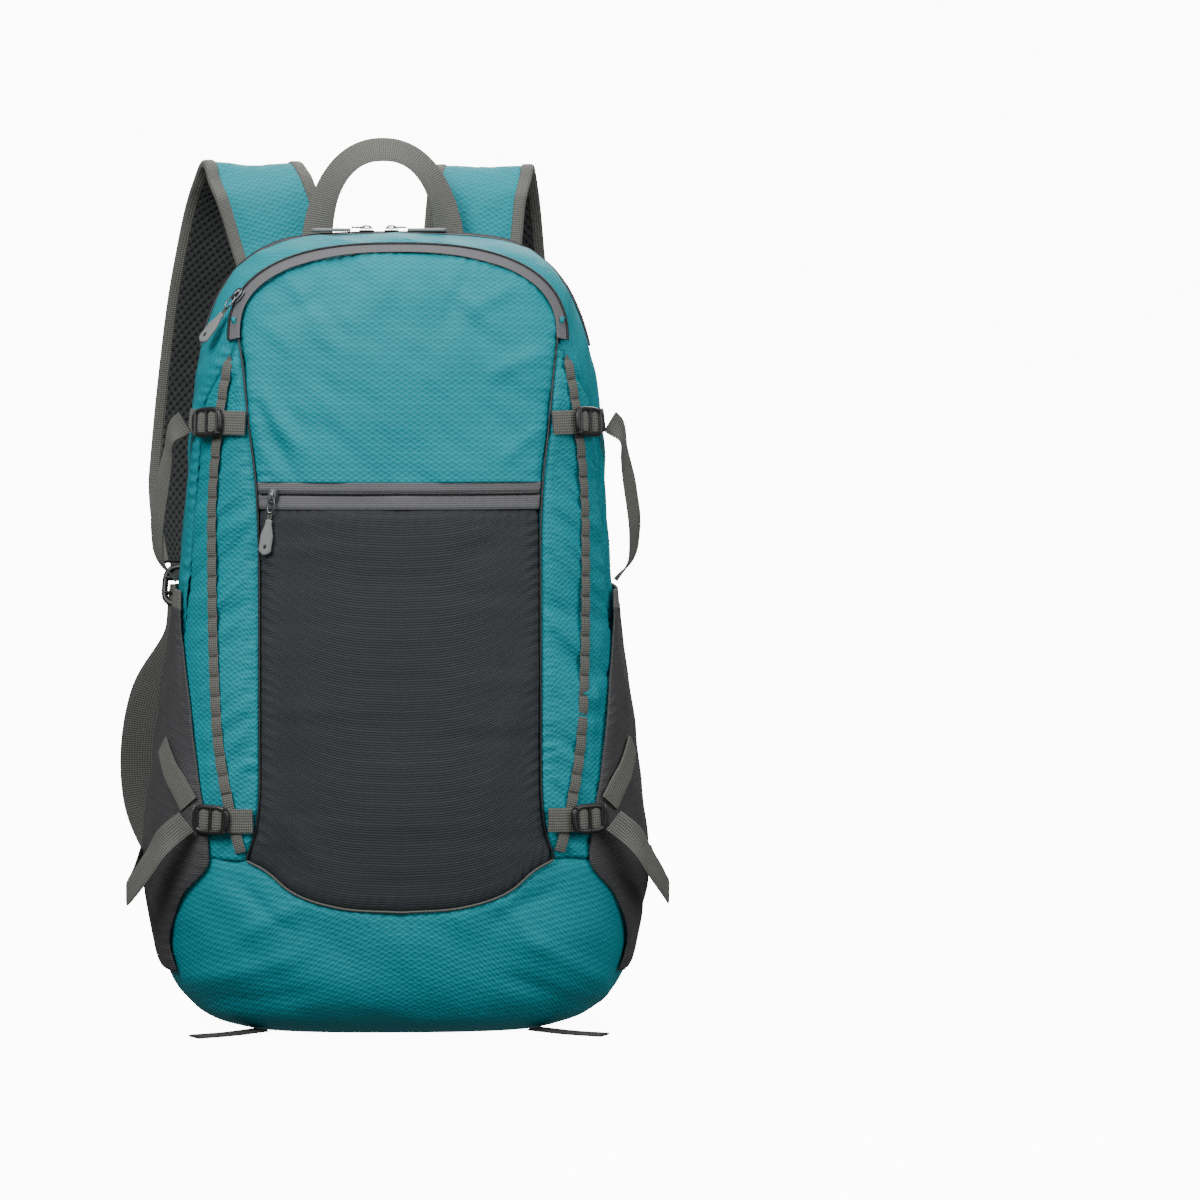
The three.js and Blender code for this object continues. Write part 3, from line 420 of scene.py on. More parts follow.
mesh_cloth = material("spacer_mesh", ink(28, 31, 31), spacer, tint=1.2, gloss=.8, bump=.001)
z_low = np.linspace(0, BASE_SEAM, 60)[:-1]
w, _, b = size(z_low)
x_low = w * (1 - (BACK_SEAM / b) ** 4.5) ** (1 / 4.5)
floor_x = np.linspace(x_low[0], -x_low[0], 60)[1:-1]
rim = np.concatenate([grid(-x_low, BACK_SEAM, z_low), back_rim[1:-1], grid(x_low, BACK_SEAM, z_low)[::-1],
                      grid(floor_x, BACK_SEAM, 0)])
rim = np.concatenate([rim, rim[:1]])
hub = np.array([0.0, 30.0, 240.0])
k = np.linspace(1, 0.004, 90)[:, None, None]
spread = hub + (rim - hub) * k
level = np.clip(spread[..., 2], 1, 488)
spread[..., 1] += 40 * (1 - k[..., 0])
back = skin(grid(0 * level, 20, 40 + level * .82), spread)
back[0] = rim
x, z = back[..., 0], back[..., 2]
quilt = np.minimum(np.abs(np.abs(x) - 8), np.abs(np.abs(x) - 102))
pad = np.clip(1 - np.exp(-(quilt / 7) ** 2), 0, 1) * (np.abs(x) > 8) * (np.abs(x) < 102) * (z > 40) * (z < 400)
sag = seam_drop(back, "b", depth=1.5, pucker=.4, seed=70) + 1.2 * rough(71, x / 50, z / 50) + 2.4 * pad
cloth("back_cloth", back, -sag, "mesh_fabric", mesh_cloth, "back_panel", round_way=True)

# Side pockets: dark grey cloth laid over each side, sewn in along the base, the side panel and
# the back, and open at the top under a grey elastic hem that stands a little off the bag.

def pocket_grid(sign, low, high, count, rise):
    z = np.linspace(low, high, count)[:, None]
    w, _, b = size(z)
    inner = np.minimum(through(POCKET_EDGE[:, 0], POCKET_EDGE[:, 1], z), w * .985)
    first = np.arctan2(front_y(inner, z) - 10, inner)
    last = np.arctan2(34, w * (1 - (BACK_SEAM / b) ** 4.5) ** (1 / 4.5))
    share = np.linspace(0, 1, 71)[None, :]
    angle = first + (last - first) * (share if sign > 0 else 1 - share)
    ray = grid(sign * np.cos(angle) * 50, 10 + np.sin(angle) * 50, z)
    return skin(grid(0, 10, z + 0 * share), ray, rise)


side_grey = material("side_ripstop", ink(66, 66, 68), fine, tint=.4, gloss=.55, bump=.0004, Specular_IOR_Level=.4)
web_cloth = material("webbing_weave", ink(92, 92, 87), ribs, tint=.55, gloss=.68, bump=.0006, Sheen_Weight=.1)
for sign, side in ((-1, "left"), (1, "right")):
    lap = pocket_grid(sign, 38, 267, 150, 2.9)
    along, z = lengths(lap, 1), lap[..., 2]
    sag = (seam_drop(lap, "lrb", depth=.8, pucker=.25, seed=80) + 1.3 * rough(81 + sign, along / 17, z / 60)
           + .9 * rough(83 + sign, (along + z * .5) / 12, z / 45) + .8 * rough(85, (z - along) / 24, z / 50)) * .8
    sag = np.maximum(sag, -.7)
    cloth(f"side_pocket_cloth_{side}", lap, sag, "grey_fabric", side_grey, f"side_pocket_{side}", thick=1.1)
    hem = pocket_grid(sign, 265.5, 278, 14, 2.4)
    along = lengths(hem, 1)
    gather = .5 * np.sin(along / 1.6 + 2 * rough(87, along / 15, along * 0)) + .5
    cloth(f"pocket_hem_tape_{side}", hem, gather * .7, "webbing", web_cloth, f"pocket_hem_{side}", thick=1.3)

# Main zip: a grey tape bound over the seam of the arch, with a thin black coil along its top,
# and piping of the same tape beside the front panel.


def curve(points, count):
    """A smooth line through points in mm."""
    p = np.array(points, float)
    s = np.r_[0, np.cumsum(np.linalg.norm(np.diff(p, axis=0), axis=1))]
    m = np.gradient(p, s, axis=0)
    at = np.linspace(0, s[-1], count)
    i = np.clip(np.searchsorted(s, at) - 1, 0, len(s) - 2)
    h = (s[i + 1] - s[i])[:, None]
    t = ((at - s[i]) / h[:, 0])[:, None]
    return (p[i] * (1 + 2 * t) * (1 - t) ** 2 + h * m[i] * t * (1 - t) ** 2
            + p[i + 1] * t * t * (3 - 2 * t) + h * m[i + 1] * t * t * (t - 1))


def sweep(name, path, across, section, slot, finish, *nodes, swell=None, ring=False):
    """A solid along a line: section points go across and out from it, in mm, and swell scales them."""
    path = np.array(path, float)
    tangent = (np.roll(path, -1, 0) - np.roll(path, 1, 0)) if ring else np.gradient(path, axis=0)
    tangent /= np.linalg.norm(tangent, axis=1, keepdims=True)
    across = np.broadcast_to(np.array(across, float), path.shape)
    across = across - (across * tangent).sum(1, keepdims=True) * tangent
    across = across / np.linalg.norm(across, axis=1, keepdims=True)
    out = np.cross(across, tangent)
    section = np.array(section, float)
    swell = np.ones((len(path), 1, 2)) if swell is None else np.broadcast_to(swell, (len(path), len(section), 2))
    offset = section[None] * swell
    points = path[:, None] + across[:, None] * offset[..., :1] + out[:, None] * offset[..., 1:]
    n, m = points.shape[:2]
    rows = n if ring else n - 1
    faces = [(r * m + k, r * m + (k + 1) % m, (r + 1) % n * m + (k + 1) % m, (r + 1) % n * m + k)
             for r in range(rows) for k in range(m)]
    if not ring:
        faces += [tuple(range(m)), tuple(range(n * m - 1, (n - 1) * m - 1, -1))]
    mesh = bpy.data.meshes.new(name)
    mesh.from_pydata((points.reshape(-1, 3) * MM).tolist(), [], faces)
    obj = bpy.data.objects.new(name, mesh)
    bpy.context.collection.objects.link(obj)
    girth = np.r_[0, np.cumsum(np.linalg.norm(np.diff(section, axis=0), axis=1))]
    run = np.r_[0, np.cumsum(np.linalg.norm(np.diff(path, axis=0), axis=1))]
    flat = np.stack(np.broadcast_arrays(girth[None, :], run[:, None]), -1).reshape(-1, 2) * MM
    corner = np.empty(len(mesh.loops), int)
    mesh.loops.foreach_get("vertex_index", corner)
    mesh.uv_layers.new(name="UVMap").data.foreach_set("uv", flat[corner].ravel())
    bpy.ops.object.select_all(action="DESELECT")
    bpy.context.view_layer.objects.active = obj
    obj.select_set(True)
    bpy.ops.object.mode_set(mode="EDIT")
    bpy.ops.mesh.select_all(action="SELECT")
    bpy.ops.mesh.normals_make_consistent(inside=False)
    bpy.ops.object.mode_set(mode="OBJECT")
    bpy.ops.object.shade_smooth_by_angle(angle=math.radians(50))
    return wear(obj, slot, finish, *nodes)


def flat_band(width, thick, columns=9):
    """The section of a flat tape with eased edges."""
    a = np.linspace(-width / 2, width / 2, columns)
    ease = np.where(np.abs(a) > width * .46, .45, 1) * thick / 2
    return np.concatenate([np.stack([a, -ease], 1), np.stack([a, ease], 1)[::-1]])


def rod(radius, sides=8, flat=1.0):
    a = np.linspace(0, 2 * math.pi, sides, endpoint=False)
    return np.stack([radius * np.cos(a), radius * flat * np.sin(a)], 1)


def front_frame(x, z):
    """Points on the bag's front and the way out of it."""
    y = front_y(x, z)
    dx = (front_y(x + .5, z) - front_y(x - .5, z))
    dz = (front_y(x, z + .5) - front_y(x, z - .5))
    out = grid(dx, -1 + 0 * dx, dz)
    return grid(x, y, z), out / np.linalg.norm(out, axis=-1, keepdims=True)


def lay(line, lift, count=120):
    """A line of x and z laid on the front, with the way across it."""
    x, z = curve(line, count).T
    points, out = front_frame(x, z)
    return points + out * lift, np.cross(out, np.gradient(points, axis=0))


def coil(name, points, across, radius, flat=1.0):
    """A zip's nylon coil: a thin rod whose teeth make it swell at every turn."""
    count = len(points)
    teeth = 1 + .16 * np.sign(np.sin(np.arange(count) * 2.1))
    return sweep(name, points, across, rod(radius, 6, flat), "zip_tape", coil_nylon,
                 swell=teeth[:, None, None] * np.ones((1, 1, 2)))


def grain(x, y, place):
    return place.make("TexNoise", Vector=place, Scale=700.0, Detail=3.0)


coil_nylon = material("coil_nylon", ink(34, 35, 37), grain, tint=.2, gloss=.42, bump=.00004, mottle=.04)
dark_web = material("dark_webbing_weave", ink(66, 66, 63), ribs, tint=.5, gloss=.7, bump=.0006)
t = np.linspace(0, math.pi, 90)
ark = np.stack([-102 * np.sign(np.cos(t)) * np.abs(np.cos(t)) ** .8, 436 + 56 * np.sin(t) ** .8], 1)
ark = np.stack([through(np.arange(90.), ark[:, k], np.linspace(0, 89, 220)) for k in (0, 1)], 1)
points, out = front_frame(ark[:, 0], ark[:, 1])
across = np.cross(out, np.gradient(points, axis=0))
sweep("main_zip_tape", points + out * 1.7, across, flat_band(9.4, 1.0), "zip_tape", tape_cloth, "main_zip")
side_way = across / np.linalg.norm(across, axis=1, keepdims=True)
share = np.linspace(0, 1, 220)
way_out = np.stack([np.interp(np.linspace(0, 1, 900), share, out[:, k]) for k in range(3)], 1)
coil("main_zip_coil", curve(points + out * 2.3 + side_way * 3.6, 900), way_out, .95)
x_line = np.linspace(-87, 87, 30)
z_line = np.full(30, ZIP_LINE)
coil("pocket_zip_coil", curve(grid(x_line, front_y(x_line, z_line) - .1, z_line), 500), (0, 0, 1), .95, .8)
for sign, side in ((-1, "left"), (1, "right")):
    zz = np.linspace(114, 446, 40)
    points, across = lay(np.stack([sign * (through(EDGE[:, 0], EDGE[:, 1], zz) + .2), zz], 1), .0, 200)
    sweep(f"front_piping_{side}", points, across, rod(.7, 8), "zip_tape", coil_nylon)
rib = np.linspace(-95.5, 95.5, 40)
points, across = lay(np.stack([rib, through(FOOT[:, 0], FOOT[:, 1], np.abs(rib))], 1), -.1, 160)
sweep("foot_piping", points, across, rod(.8, 8), "webbing", web_cloth)

rim = np.concatenate([grid(-x_low, BACK_SEAM, z_low), back_rim[1:-1], grid(x_low, BACK_SEAM, z_low)[::-1]])[6:-6]
centre = grid(0, BACK_SEAM, np.clip(rim[:, 2], 60, 380))
hold = (rim - centre) / np.linalg.norm(rim - centre, axis=1, keepdims=True)
sweep("back_piping", rim - hold * .9, (0, 1, 0), rod(2.0, 10), "webbing", dark_web)

# Daisy chains: narrow grey tape sewn down each side of the front, tacked across at every step so
# that it stands up a little between the tacks, with its head folded to a point.
DAISY_STEP = 12.4
DAISY = [(.630, .236), (.680, .300), (.715, .370), (.728, .440), (.735, .520), (.737, .600), (.735, .670),
         (.715, .750), (.690, .810), (.665, .852)]
for sign, side in ((-1, "left"), (1, "right")):
    points, across = lay([(sign * a * HALF_WIDE, b * TALL) for a, b in DAISY], 0, 330)
    _, out = front_frame(points[:, 0], points[:, 2])
    run = np.r_[0, np.cumsum(np.linalg.norm(np.diff(points, axis=0), axis=1))]
    stand = np.abs(np.sin(run * math.pi / DAISY_STEP)) ** .6
    taper = np.clip((run[-1] - run) / 6 + .1, .1, 1)[:, None, None] * (1, 0) + (0, 1)
    sweep(f"daisy_tape_{side}", points + out * (1.2 + 1.0 * stand)[:, None], across, flat_band(7, 1.0, 7),
          "webbing", web_cloth, f"daisy_chain_{side}", swell=taper)
    for k in range(1, int(run[-1] / DAISY_STEP)):
        i = int(np.searchsorted(run, k * DAISY_STEP))
        way = across[i] / np.linalg.norm(across[i])
        bar = points[i] + out[i] * 2.0 + way * np.linspace(-3.1, 3.1, 5)[:, None]
        sweep(f"daisy_tack_{side}_{k}", bar, out[i], rod(.4, 6), "webbing", dark_web)

# Compression straps: on each side, high and low, a grey webbing tab comes from the front seam into
# a black moulded buckle, and slack webbing hangs from that in a loop back to the bag's side.
UPPER_STRAP, LOWER_STRAP, BUCKLE_X = 384, 138, 115
UPPER_SLACK = [(.34, -.65, 0), (.74, -.4, .06), (.92, .3, .22), (1.17, .6, .46), (1.34, .8, .74), (1.20, 1, .94)]
LOWER_SLACK = [(.13, -.20, .02), (.40, -.21, .2), (.68, -.10, .55), (.93, .13, .88), (1.02, .38, 1), (.92, .7, .86)]
SLACK_WAYS = {"upper": [(0, 0, 1), (.3, 1, .4), (.6, .85, 0), (.6, .85, 0), (.4, .9, 0), (0, 1, .1)],
              "lower": [(0, 0, 1), (0, .2, 1), (0, .1, 1), (0, -.3, 1), (0, -.5, 1)]}


def turning(ways, count):
    at = np.linspace(0, len(ways) - 1, count)
    return np.stack([np.interp(at, np.arange(len(ways)), np.array(ways, float)[:, k]) for k in range(3)], 1)


def spot(x, z, roll=0.0):
    """A small part's own axes on the front: right, up and out."""
    point, out = front_frame(np.array(float(x)), np.array(float(z)))
    right = np.cross(out, (0, 0, 1)) * -1
    right /= np.linalg.norm(right)
    up_way = np.cross(out, right)
    a = math.radians(roll)
    return point, right * math.cos(a) + up_way * math.sin(a), up_way * math.cos(a) - right * math.sin(a), out


def join(name, parts):
    bpy.ops.object.select_all(action="DESELECT")
    for part in parts:
        part.select_set(True)
    bpy.context.view_layer.objects.active = parts[0]
    bpy.ops.object.join()
    parts[0].name = name
    return parts[0]


def buckle(name, middle, right, up_way, out, wide, high, thick, posts, *nodes):
    """A rounded frame with upright posts between its windows."""
    a = np.linspace(0, 2 * math.pi, 56, endpoint=False)
    bar = thick * .42
    px = (wide / 2 - bar) * np.sign(np.cos(a)) * np.abs(np.cos(a)) ** .56
    py = (high / 2 - bar) * np.sign(np.sin(a)) * np.abs(np.sin(a)) ** .56
    loop = middle + px[:, None] * right + py[:, None] * up_way
    parts = [sweep(name, loop, out, rod(bar, 10), "buckle_plastic", plastic, *nodes, ring=True)]
    for place, fat in posts:
        post = middle + right * place + up_way * np.linspace(-high / 2 + bar, high / 2 - bar, 7)[:, None]
        parts.append(sweep(name + "_post", post, right, rod(fat, 8, thick * .46 / fat), "buckle_plastic", plastic))
    return join(name, parts)


plastic = material("moulded_plastic", ink(30, 30, 31), grain, tint=.1, gloss=.38, bump=.00004, mottle=.03)
for sign, side in ((-1, "left"), (1, "right")):
    for part, height, start, lift, roll in (("upper", UPPER_STRAP, 1.08, 2.6, -5),
                                            ("lower", LOWER_STRAP, 1.04, 2.65, 2)):
        points, across = lay([(sign * x, height + .4 * math.sin(x)) for x in np.linspace(PANEL_HALF * start, 127, 6)],
                             lift + .9, 40)
        sweep(f"strap_tab_{part}_{side}", points, across, flat_band(15, 1.4), "webbing", web_cloth,
              f"compression_tab_{part}_{side}")
        point, right, up_way, out = spot(sign * BUCKLE_X, height, roll * sign)
        middle = point + out * (lift + 3.9)
        buckle(f"buckle_frame_{part}_{side}", middle, right, up_way, out, 26, 19, 4.4,
               ((-9.6, 1.7), (0, 1.15), (9.6, 1.7)), f"buckle_{part}_{side}")
        for k in (-1, 1):
            bulge = np.linspace(-3.4, 3.4, 9)
            path = middle + right * (k * 4.6 + bulge)[:, None] + out * (.9 - .1 * bulge ** 2)[:, None]
            sweep(f"buckle_web_{part}_{side}_{'in' if k < 0 else 'out'}", path, up_way, flat_band(12.6, 1.3, 7),
                  "webbing", web_cloth)
        drop, depth, rows = (95, 15, UPPER_SLACK) if part == "upper" else (50, 62, LOWER_SLACK)
        w = float(size(height)[0])
        y0 = float(front_y(128.0, height))
        path = [(sign * (128 + (w + 15 - 128) * a), y0 + depth * b, height - drop * c) for a, b, c in rows]
        seat_z = 282.5 if part == "upper" else 108
        seat_x = float(size(seat_z)[0]) + (1.4 if part == "upper" else 4.5)
        path.append((sign * seat_x, y0 + depth, seat_z))
        sweep(f"strap_slack_{part}_{side}", curve(path, 90), turning(SLACK_WAYS[part], 90) * (sign, 1, 1),
              flat_band(15, 1.4), "webbing", web_cloth, f"compression_web_{part}_{side}")
    rise = [(1.12, .06), (1.17, .14), (1.205, .19), (1.23, .25), (1.25, .31)]
    points, across = lay([(sign * BUCKLE_X * a, LOWER_STRAP * (1 + b)) for a, b in rise], 4.6, 40)
    sweep(f"strap_anchor_{side}", points, across, flat_band(15, 1.4), "webbing", web_cloth,
          f"compression_anchor_{side}")

# Grab handle: a loop of wide grey webbing, its two ends sewn under a strip at the top of the back,
# turning over as it rises so that its inner face shows at the top.


def back_y(x, z):
    w, _, b = size(z)
    return b * np.maximum(1 - np.minimum(np.abs(x) / w, 1) ** 4.5, 0) ** (1 / 4.5)


a = np.linspace(math.pi, 0, 17)
rise = np.sin(a) ** .8
foot_y = float(back_y(-6.0, 477.5)) + 1.05
path = np.stack([-6 + 43 * np.sign(np.cos(a)) * np.abs(np.cos(a)) ** .9, foot_y + rise * 6, 477.5 + rise * 77], 1)
ways = turning([(-1, 0, 0), (-.6, .6, .5), (0, .7, .75), (.6, .6, .5), (1, 0, 0)], 140)
sweep("handle_webbing", curve(path, 140), ways, flat_band(20, 1.6, 11), "webbing", web_cloth, "grab_handle")

# Shoulder straps: foam pads with a teal face outward, black mesh inward and grey binding folded
# over both edges. They rise from the back, bend over and hang down to a ladder-lock buckle.
STRAPS = {
    "left": [(-.34, -.02, .77), (-.37, -.012, .83), (-.45, .12, .905), (-.53, .30, .975), (-.57, .52, .992),
             (-.62, .78, .96), (-.70, .96, .86), (-.76, 1, .735), (-.80, .9, .62), (-.83, .66, .525)],
    "right": [(.27, -.02, .77), (.29, -.012, .83), (.33, .12, .905), (.36, .30, .972), (.39, .53, .99),
              (.42, .79, .958), (.46, .96, .86), (.52, 1, .735), (.58, .9, .62), (.62, .66, .525)]}
LOW_WEBS = {"left": [(-1, .38, .37), (-1.03, .22, .25)], "right": [(.70, .40, .37), (.74, .24, .25)]}


def strap_point(row):
    return np.array([row[0] * HALF_WIDE, 66.35 + row[1] * 72, row[2] * 545])


for sign, side in ((-1, "left"), (1, "right")):
    path = curve([strap_point(row) for row in STRAPS[side]], 200)
    ways = turning([(1, 0, 0), (1, sign * .25, 0)], 200)
    t = np.linspace(0, 1, 200)
    width = 1 - .42 * np.clip((t - .86) / .14, 0, 1) ** 1.5
    a = np.linspace(-1, 1, 29)
    crown = 3.2 * (1 - np.abs(a) ** 5) + .5
    run = t[:, None] * 420
    plump = 1 + .14 * rough(90 + sign, run / 26, a[None, :] * 2 + 9) + .07 * rough(92, run / 7, a[None, :] * 5 + 20)
    full = np.concatenate([np.ones((200, 29)), plump[:, ::-1]], 1)
    swell = np.stack([width[:, None] * np.ones((1, 58)), full], -1)
    cover = np.concatenate([np.stack([a * 29, 0 * a], 1), np.stack([a * 29, crown], 1)[::-1]])
    pad = sweep(f"strap_face_{side}", path, ways, cover, "shell_fabric", teal, f"shoulder_strap_{side}", swell=swell)
    lining = sweep(f"strap_lining_{side}", path, ways, cover * (1, -1), "mesh_fabric", mesh_cloth,
                   f"shoulder_strap_{side}", swell=swell)
    for edge, end in ((-1, "inner"), (1, "outer")):
        b = np.linspace(0, 2 * math.pi, 18, endpoint=False)
        fold = np.stack([4.2 * np.sign(np.cos(b)) * np.abs(np.cos(b)) ** .6,
                         3.0 * np.sign(np.sin(b)) * np.abs(np.sin(b)) ** .6], 1)
        tangent = np.gradient(path, axis=0)
        tangent /= np.linalg.norm(tangent, axis=1, keepdims=True)
        flat_way = ways - (ways * tangent).sum(1, keepdims=True) * tangent
        flat_way /= np.linalg.norm(flat_way, axis=1, keepdims=True)
        line = path + flat_way * (edge * 27.8 * width)[:, None]
        sweep(f"strap_binding_{end}_{side}", line, ways, fold, "webbing", web_cloth, f"shoulder_strap_{side}")
    foot = strap_point(STRAPS[side][-1])
    down = foot - strap_point(STRAPS[side][-2])
    down /= np.linalg.norm(down)
    right = np.array([1, sign * .25, 0.0])
    right -= (right * down).sum() * down
    right /= np.linalg.norm(right)
    out = np.cross(right, down)
    middle = foot + down * 15.7
    buckle(f"ladder_lock_{side}", middle, -down, right, out, 30, 34, 5, ((-5, 1.5), (5, 1.8)),
           f"strap_buckle_{side}")
    loop = foot + down * np.array([-6, 2, 6, 9, 10.6])[:, None] + out * np.array([-1, -1, .6, 1.4, 0])[:, None]
    sweep(f"strap_end_{side}", loop, right, flat_band(25, 1.6), "webbing", dark_web)
    top = foot + down * 31.4
    web_x = {"left": -.86, "right": .72}[side] * HALF_WIDE
    web_y = float(back_y(abs(web_x) - 12, 80.0)) + 1.05
    low = [top - down * 17, top - down * 6, top, top + down * 12, *[strap_point(row) for row in LOW_WEBS[side]],
           (web_x, web_y, 80)]
    low[0] = low[0] + out * 1.2
    sweep(f"strap_web_{side}", curve(low, 120), turning([right, (1, 0, 0)], 120), flat_band(24, 1.5, 11),
          "webbing", dark_web, f"strap_webbing_{side}")

# Top zip: a second short zip over the ridge of the bag, grey tape with a black coil, its two
# sliders meeting near the middle.
row = ROWS[(ROWS[:, 0] >= .86) & (ROWS[:, 0] <= 1)]
lean = math.pi * .08 + (math.pi / 2 - math.pi * .08) * ((row[:, 0] - .86) / .14) ** 2
right_half = np.stack([row[:, 1] * HALF_WIDE + np.cos(lean) * 1.3, 14 + 0 * lean,
                       row[:, 0] * TALL + np.sin(lean) * 1.3], 1)
ridge = curve(np.concatenate([right_half * (-1, 1, 1), right_half[::-1]]), 260)
ridge = skin(grid(0, 14, np.minimum(ridge[:, 2], 400)), ridge, .5)
sweep("top_zip_tape", ridge, (0, 1, 0), flat_band(9, 1.0), "zip_tape", tape_cloth, "top_zip")
out = np.cross((0, 1, 0), np.gradient(ridge, axis=0))
out /= np.linalg.norm(out, axis=1, keepdims=True)
out *= np.sign(out[130, 2])
coil("top_zip_coil", curve(ridge + out * .7, 700), (0, 1, 0), 1.2, .7)

# Zip sliders and pulls: plated cast sliders with a bridge and a wire ring, a short cord, and a
# grey rubber tab with an oval dimple, its hollow painted dark as shade.


def slider(name, middle, right, along, out, reach, *nodes):
    """A slider whose puller lies along; reach is how far its wire ring goes."""
    a = np.linspace(0, 1, 9)[:, None]
    body = [sweep(name, middle + along * (a * 9.2 - 4.6) - out * 1.1, right, flat_band(6.8, 1.1, 7),
                  "zip_metal", chrome, *nodes,
                  swell=(1 - .22 * np.abs(a * 2 - .9) ** 2)[:, None] * (1, 0) + (0, 1)),
            sweep(name + "_a", middle + along * (a * 8.0 - 4.0) + out * .5, right, flat_band(5.6, 1.0, 7),
                  "zip_metal", chrome,
                  swell=(1 - .3 * np.abs(a * 2 - .9) ** 2)[:, None] * (1, 0) + (0, 1))]
    bridge = middle + along * (a * 6.4 - 3.2) + out * (.7 + 1.3 * np.sin(a * math.pi) ** .5)
    body.append(sweep(name + "_b", bridge, right, rod(.75, 8, .8), "zip_metal", chrome))
    b = np.linspace(0, 2 * math.pi, 28, endpoint=False)
    ring = (middle + along * (reach / 2 + 1.6 + (reach / 2) * np.cos(b))[:, None] + out * 1.0
            + right * (2.1 * np.sign(np.sin(b)) * np.abs(np.sin(b)) ** .6)[:, None])
    body.append(sweep(name + "_c", ring, out, rod(.55, 8), "zip_metal", chrome, ring=True))
    return join(name, body)


def puller(name, start, right, along, out, length, *nodes):
    """A rubber tab, narrow where its cord goes in and round at its foot."""
    t = np.linspace(0, 1, 40)
    wide = (2.2 + 1.9 * np.clip((t - .16) / .3, 0, 1)) * np.minimum(1, np.sqrt(np.clip((1 - t) / .12, 0, 1)) + .02)
    wide *= np.minimum(1, np.sqrt(t / .03) + .1)
    b = np.linspace(0, 2 * math.pi, 20, endpoint=False)
    section = np.stack([np.sign(np.cos(b)) * np.abs(np.cos(b)) ** .7,
                        1.15 * np.sign(np.sin(b)) * np.abs(np.sin(b)) ** .7], 1)
    fat = (.8 + .2 * np.minimum(1, wide / 3))[:, None] * np.ones((1, 20))
    tab = sweep(name, start + along * (t * length)[:, None], right, section, "pull_rubber", rubber, *nodes,
                swell=np.stack([wide[:, None] * np.ones((1, 20)), fat], -1))
    # The dimple is a dark oval in the moulded plastic finish laid on the grey rubber: painted shade in its hollow.
    c = np.linspace(-1, 1, 9)
    shade_dot = start + along * (length * .76 + c * 2.3)[:, None] + out * .75
    cap = np.sqrt(np.maximum(1 - c ** 2, .02))
    sweep(name + "_dimple", shade_dot, right, rod(1.35, 12, .42), "pull_rubber", plastic,
          swell=cap[:, None, None] * np.ones((1, 1, 2)))
    return tab


chrome = material("plated_metal", ink(128, 130, 134), grain, tint=.08, gloss=.3, bump=.00002, mottle=.02,
                  Metallic=1.0)
rubber = material("soft_rubber", ink(122, 124, 124), grain, tint=.12, gloss=.55, bump=.00006, mottle=.04)
for name, x, z, turned, lift in (("main", -98, 462, -.5, 2.6), ("pocket", -78.5, 339.5, -.12, .5)):
    point, right, up_way, out = spot(x, z, 0)
    middle = point + out * (lift + 2)
    along = -up_way * math.cos(turned) + right * math.sin(turned)
    side_way = np.cross(out, along)
    slider(f"slider_{name}", middle, side_way, along, out, 9, f"zip_slider_{name}")
    start = middle + along * 11.5
    for k in (-.8, .8):
        cord_line = curve([start - along * 1.2 + side_way * k, start + along * 2 + side_way * k,
                           start + along * 5.5 + side_way * k * .6], 12)
        sweep(f"pull_cord_{name}_{'a' if k < 0 else 'b'}", cord_line, out, rod(.6, 6), "pull_rubber", web_cloth)
    puller(f"pull_{name}", start + along * 3.2, side_way, along, out, 22.5, f"zip_pull_{name}")
for sign, side in ((-1, "left"), (1, "right")):
    middle = np.array([-10 + sign * 8.0, 14, 504.3])
    along, out = np.array([sign * 1.0, 0, 0]), np.array([0, 0, 1.0])
    slider(f"slider_top_{side}", middle, np.array([0, 1.0, 0]), along, out, 7.5, f"zip_slider_top_{side}")
    puller(f"pull_top_{side}", middle + along * 10 + (0, 0, -.6), np.array([0, 1.0, 0]), along, out, 25,
           f"zip_pull_top_{side}")

# Base loops: folded ends of dark webbing sewn into the base seam, lying on the ground.
for sign, side in ((-1, "left"), (1, "right")):
    start = np.array([97.3 * .89, -53.8 * .81])
    line = [(sign * (start[0] + a * 42), start[1] + b * 42, 1.0) for a, b in ((0, 0), (.5, -.45), (1, -.72))]
    sweep(f"base_loop_{side}_webbing", curve(line, 40), turning([(sign * .6, .8, 0), (sign * .5, .86, 0)], 40),
          flat_band(15, 1.6), "webbing", dark_web, f"base_loop_{side}")

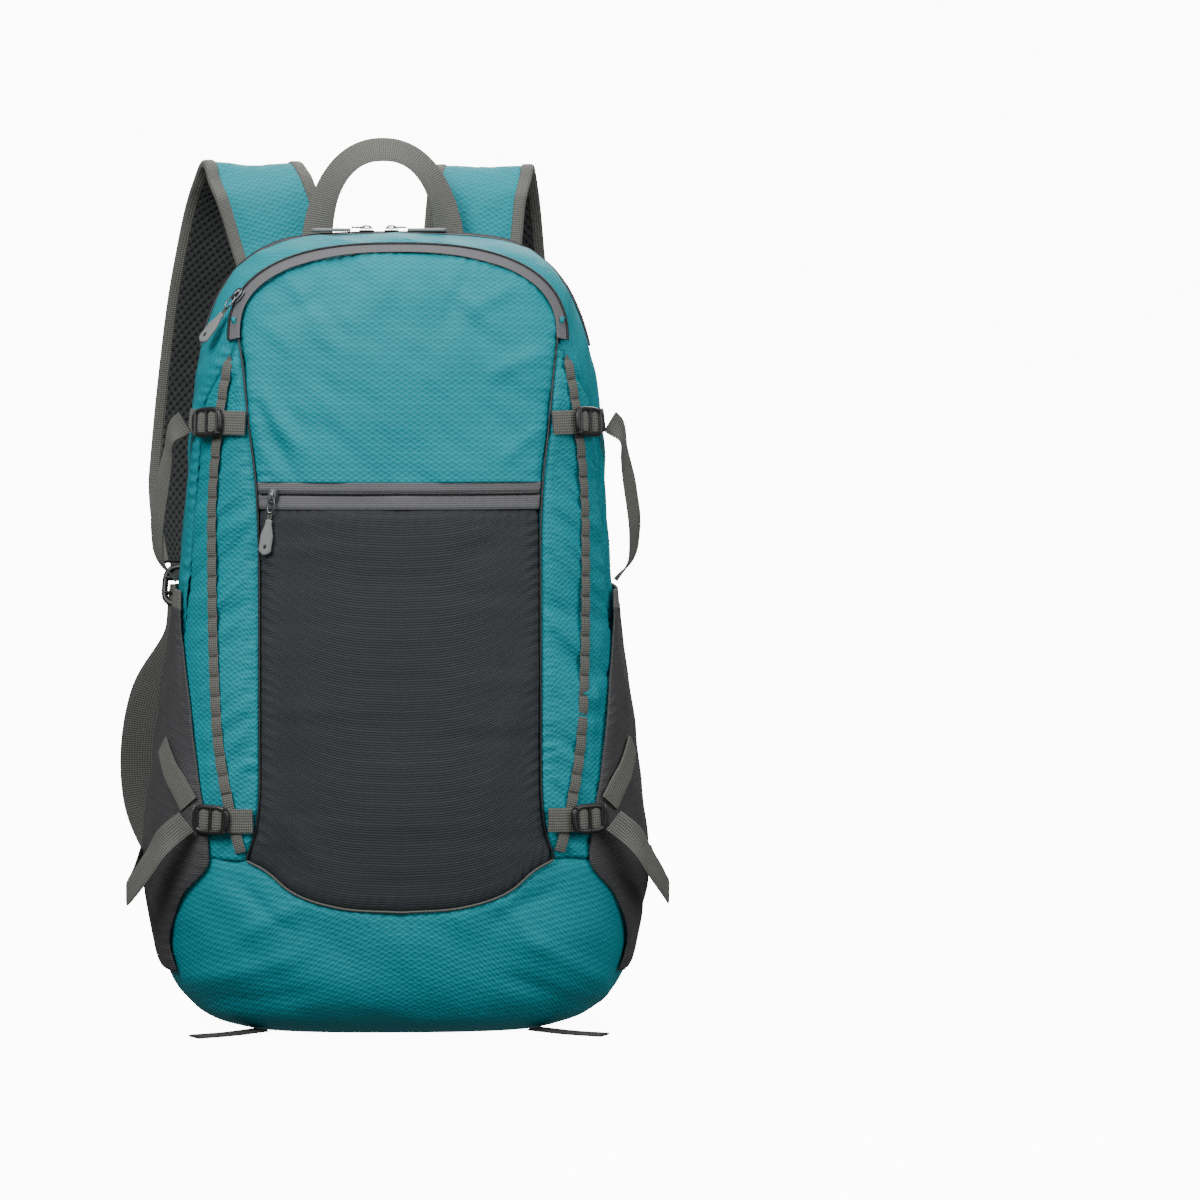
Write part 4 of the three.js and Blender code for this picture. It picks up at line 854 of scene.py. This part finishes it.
# Studio: a pale seamless sweep, one broad soft key from the upper left, a weaker fill, a top light
# and a soft light from behind, and the camera a little left of the middle and just above the bag's waist.
bpy.ops.mesh.primitive_grid_add(x_subdivisions=2, y_subdivisions=60, size=1)
floor = bpy.context.object
floor.name = "studio_floor"
for vertex in floor.data.vertices:
    run = (vertex.co.y + .5) * 9 - 4
    arc = min(max(run - 2.2, 0), 1.2 * math.pi / 2) / 1.2
    wall = max(run - 2.2 - 1.2 * math.pi / 2, 0) * 3
    vertex.co = (vertex.co.x * 16, min(run, 2.2) + 1.2 * math.sin(arc), 1.2 * (1 - math.cos(arc)) + wall)
bpy.ops.object.select_all(action="DESELECT")
floor.select_set(True)
bpy.ops.object.shade_smooth()
pale = bpy.data.materials.new("studio_paper")
pale.use_nodes = True
paper = pale.node_tree.nodes["Principled BSDF"]
place = Net(pale.node_tree, pale.node_tree.nodes.new("ShaderNodeTexCoord").outputs["Object"])
speck = place.make("TexNoise", Vector=place, Scale=3.0)
place.plug(paper.inputs["Roughness"], speck * .1 + .8)
paper.inputs["Base Color"].default_value = (.9, .9, .9, 1)
paper.inputs["Emission Color"].default_value = (1, 1, 1, 1)
paper.inputs["Emission Strength"].default_value = 11.0
floor.data.materials.append(pale)
floor.visible_diffuse = False
floor.visible_glossy = False
for name, spot_at, lean, wide, power in (
        ("key", (-1.3, -1.9, 1.9), (52, 0, -34), 1.3, 72), ("fill", (1.7, -1.5, 1.1), (66, 0, 48), 1.6, 30),
        ("top", (0, .1, 2.3), (0, 0, 0), 1.8, 40), ("back", (.5, 2.0, 1.6), (-56, 0, 12), 1.4, 34)):
    bpy.ops.object.light_add(type="AREA", location=spot_at, rotation=[math.radians(a) for a in lean])
    lamp = bpy.context.object
    lamp.name = name
    lamp.data.size = wide
    lamp.data.energy = power
world = bpy.data.worlds.new("studio_air")
bpy.context.scene.world = world
world.use_nodes = True
world.node_tree.nodes["Background"].inputs["Color"].default_value = (1, 1, 1, 1)
world.node_tree.nodes["Background"].inputs["Strength"].default_value = .16
turned, raised, far = math.radians(-2), math.radians(4), 4.2
bpy.ops.object.camera_add(
    location=(far * math.sin(turned) * math.cos(raised), -.03 - far * math.cos(turned) * math.cos(raised),
              .2715 + far * math.sin(raised)), rotation=(math.pi / 2 - raised, 0, turned))
camera = bpy.context.object
camera.data.lens = 36 * far / .756
camera.data.shift_x = .169
bpy.context.scene.camera = camera
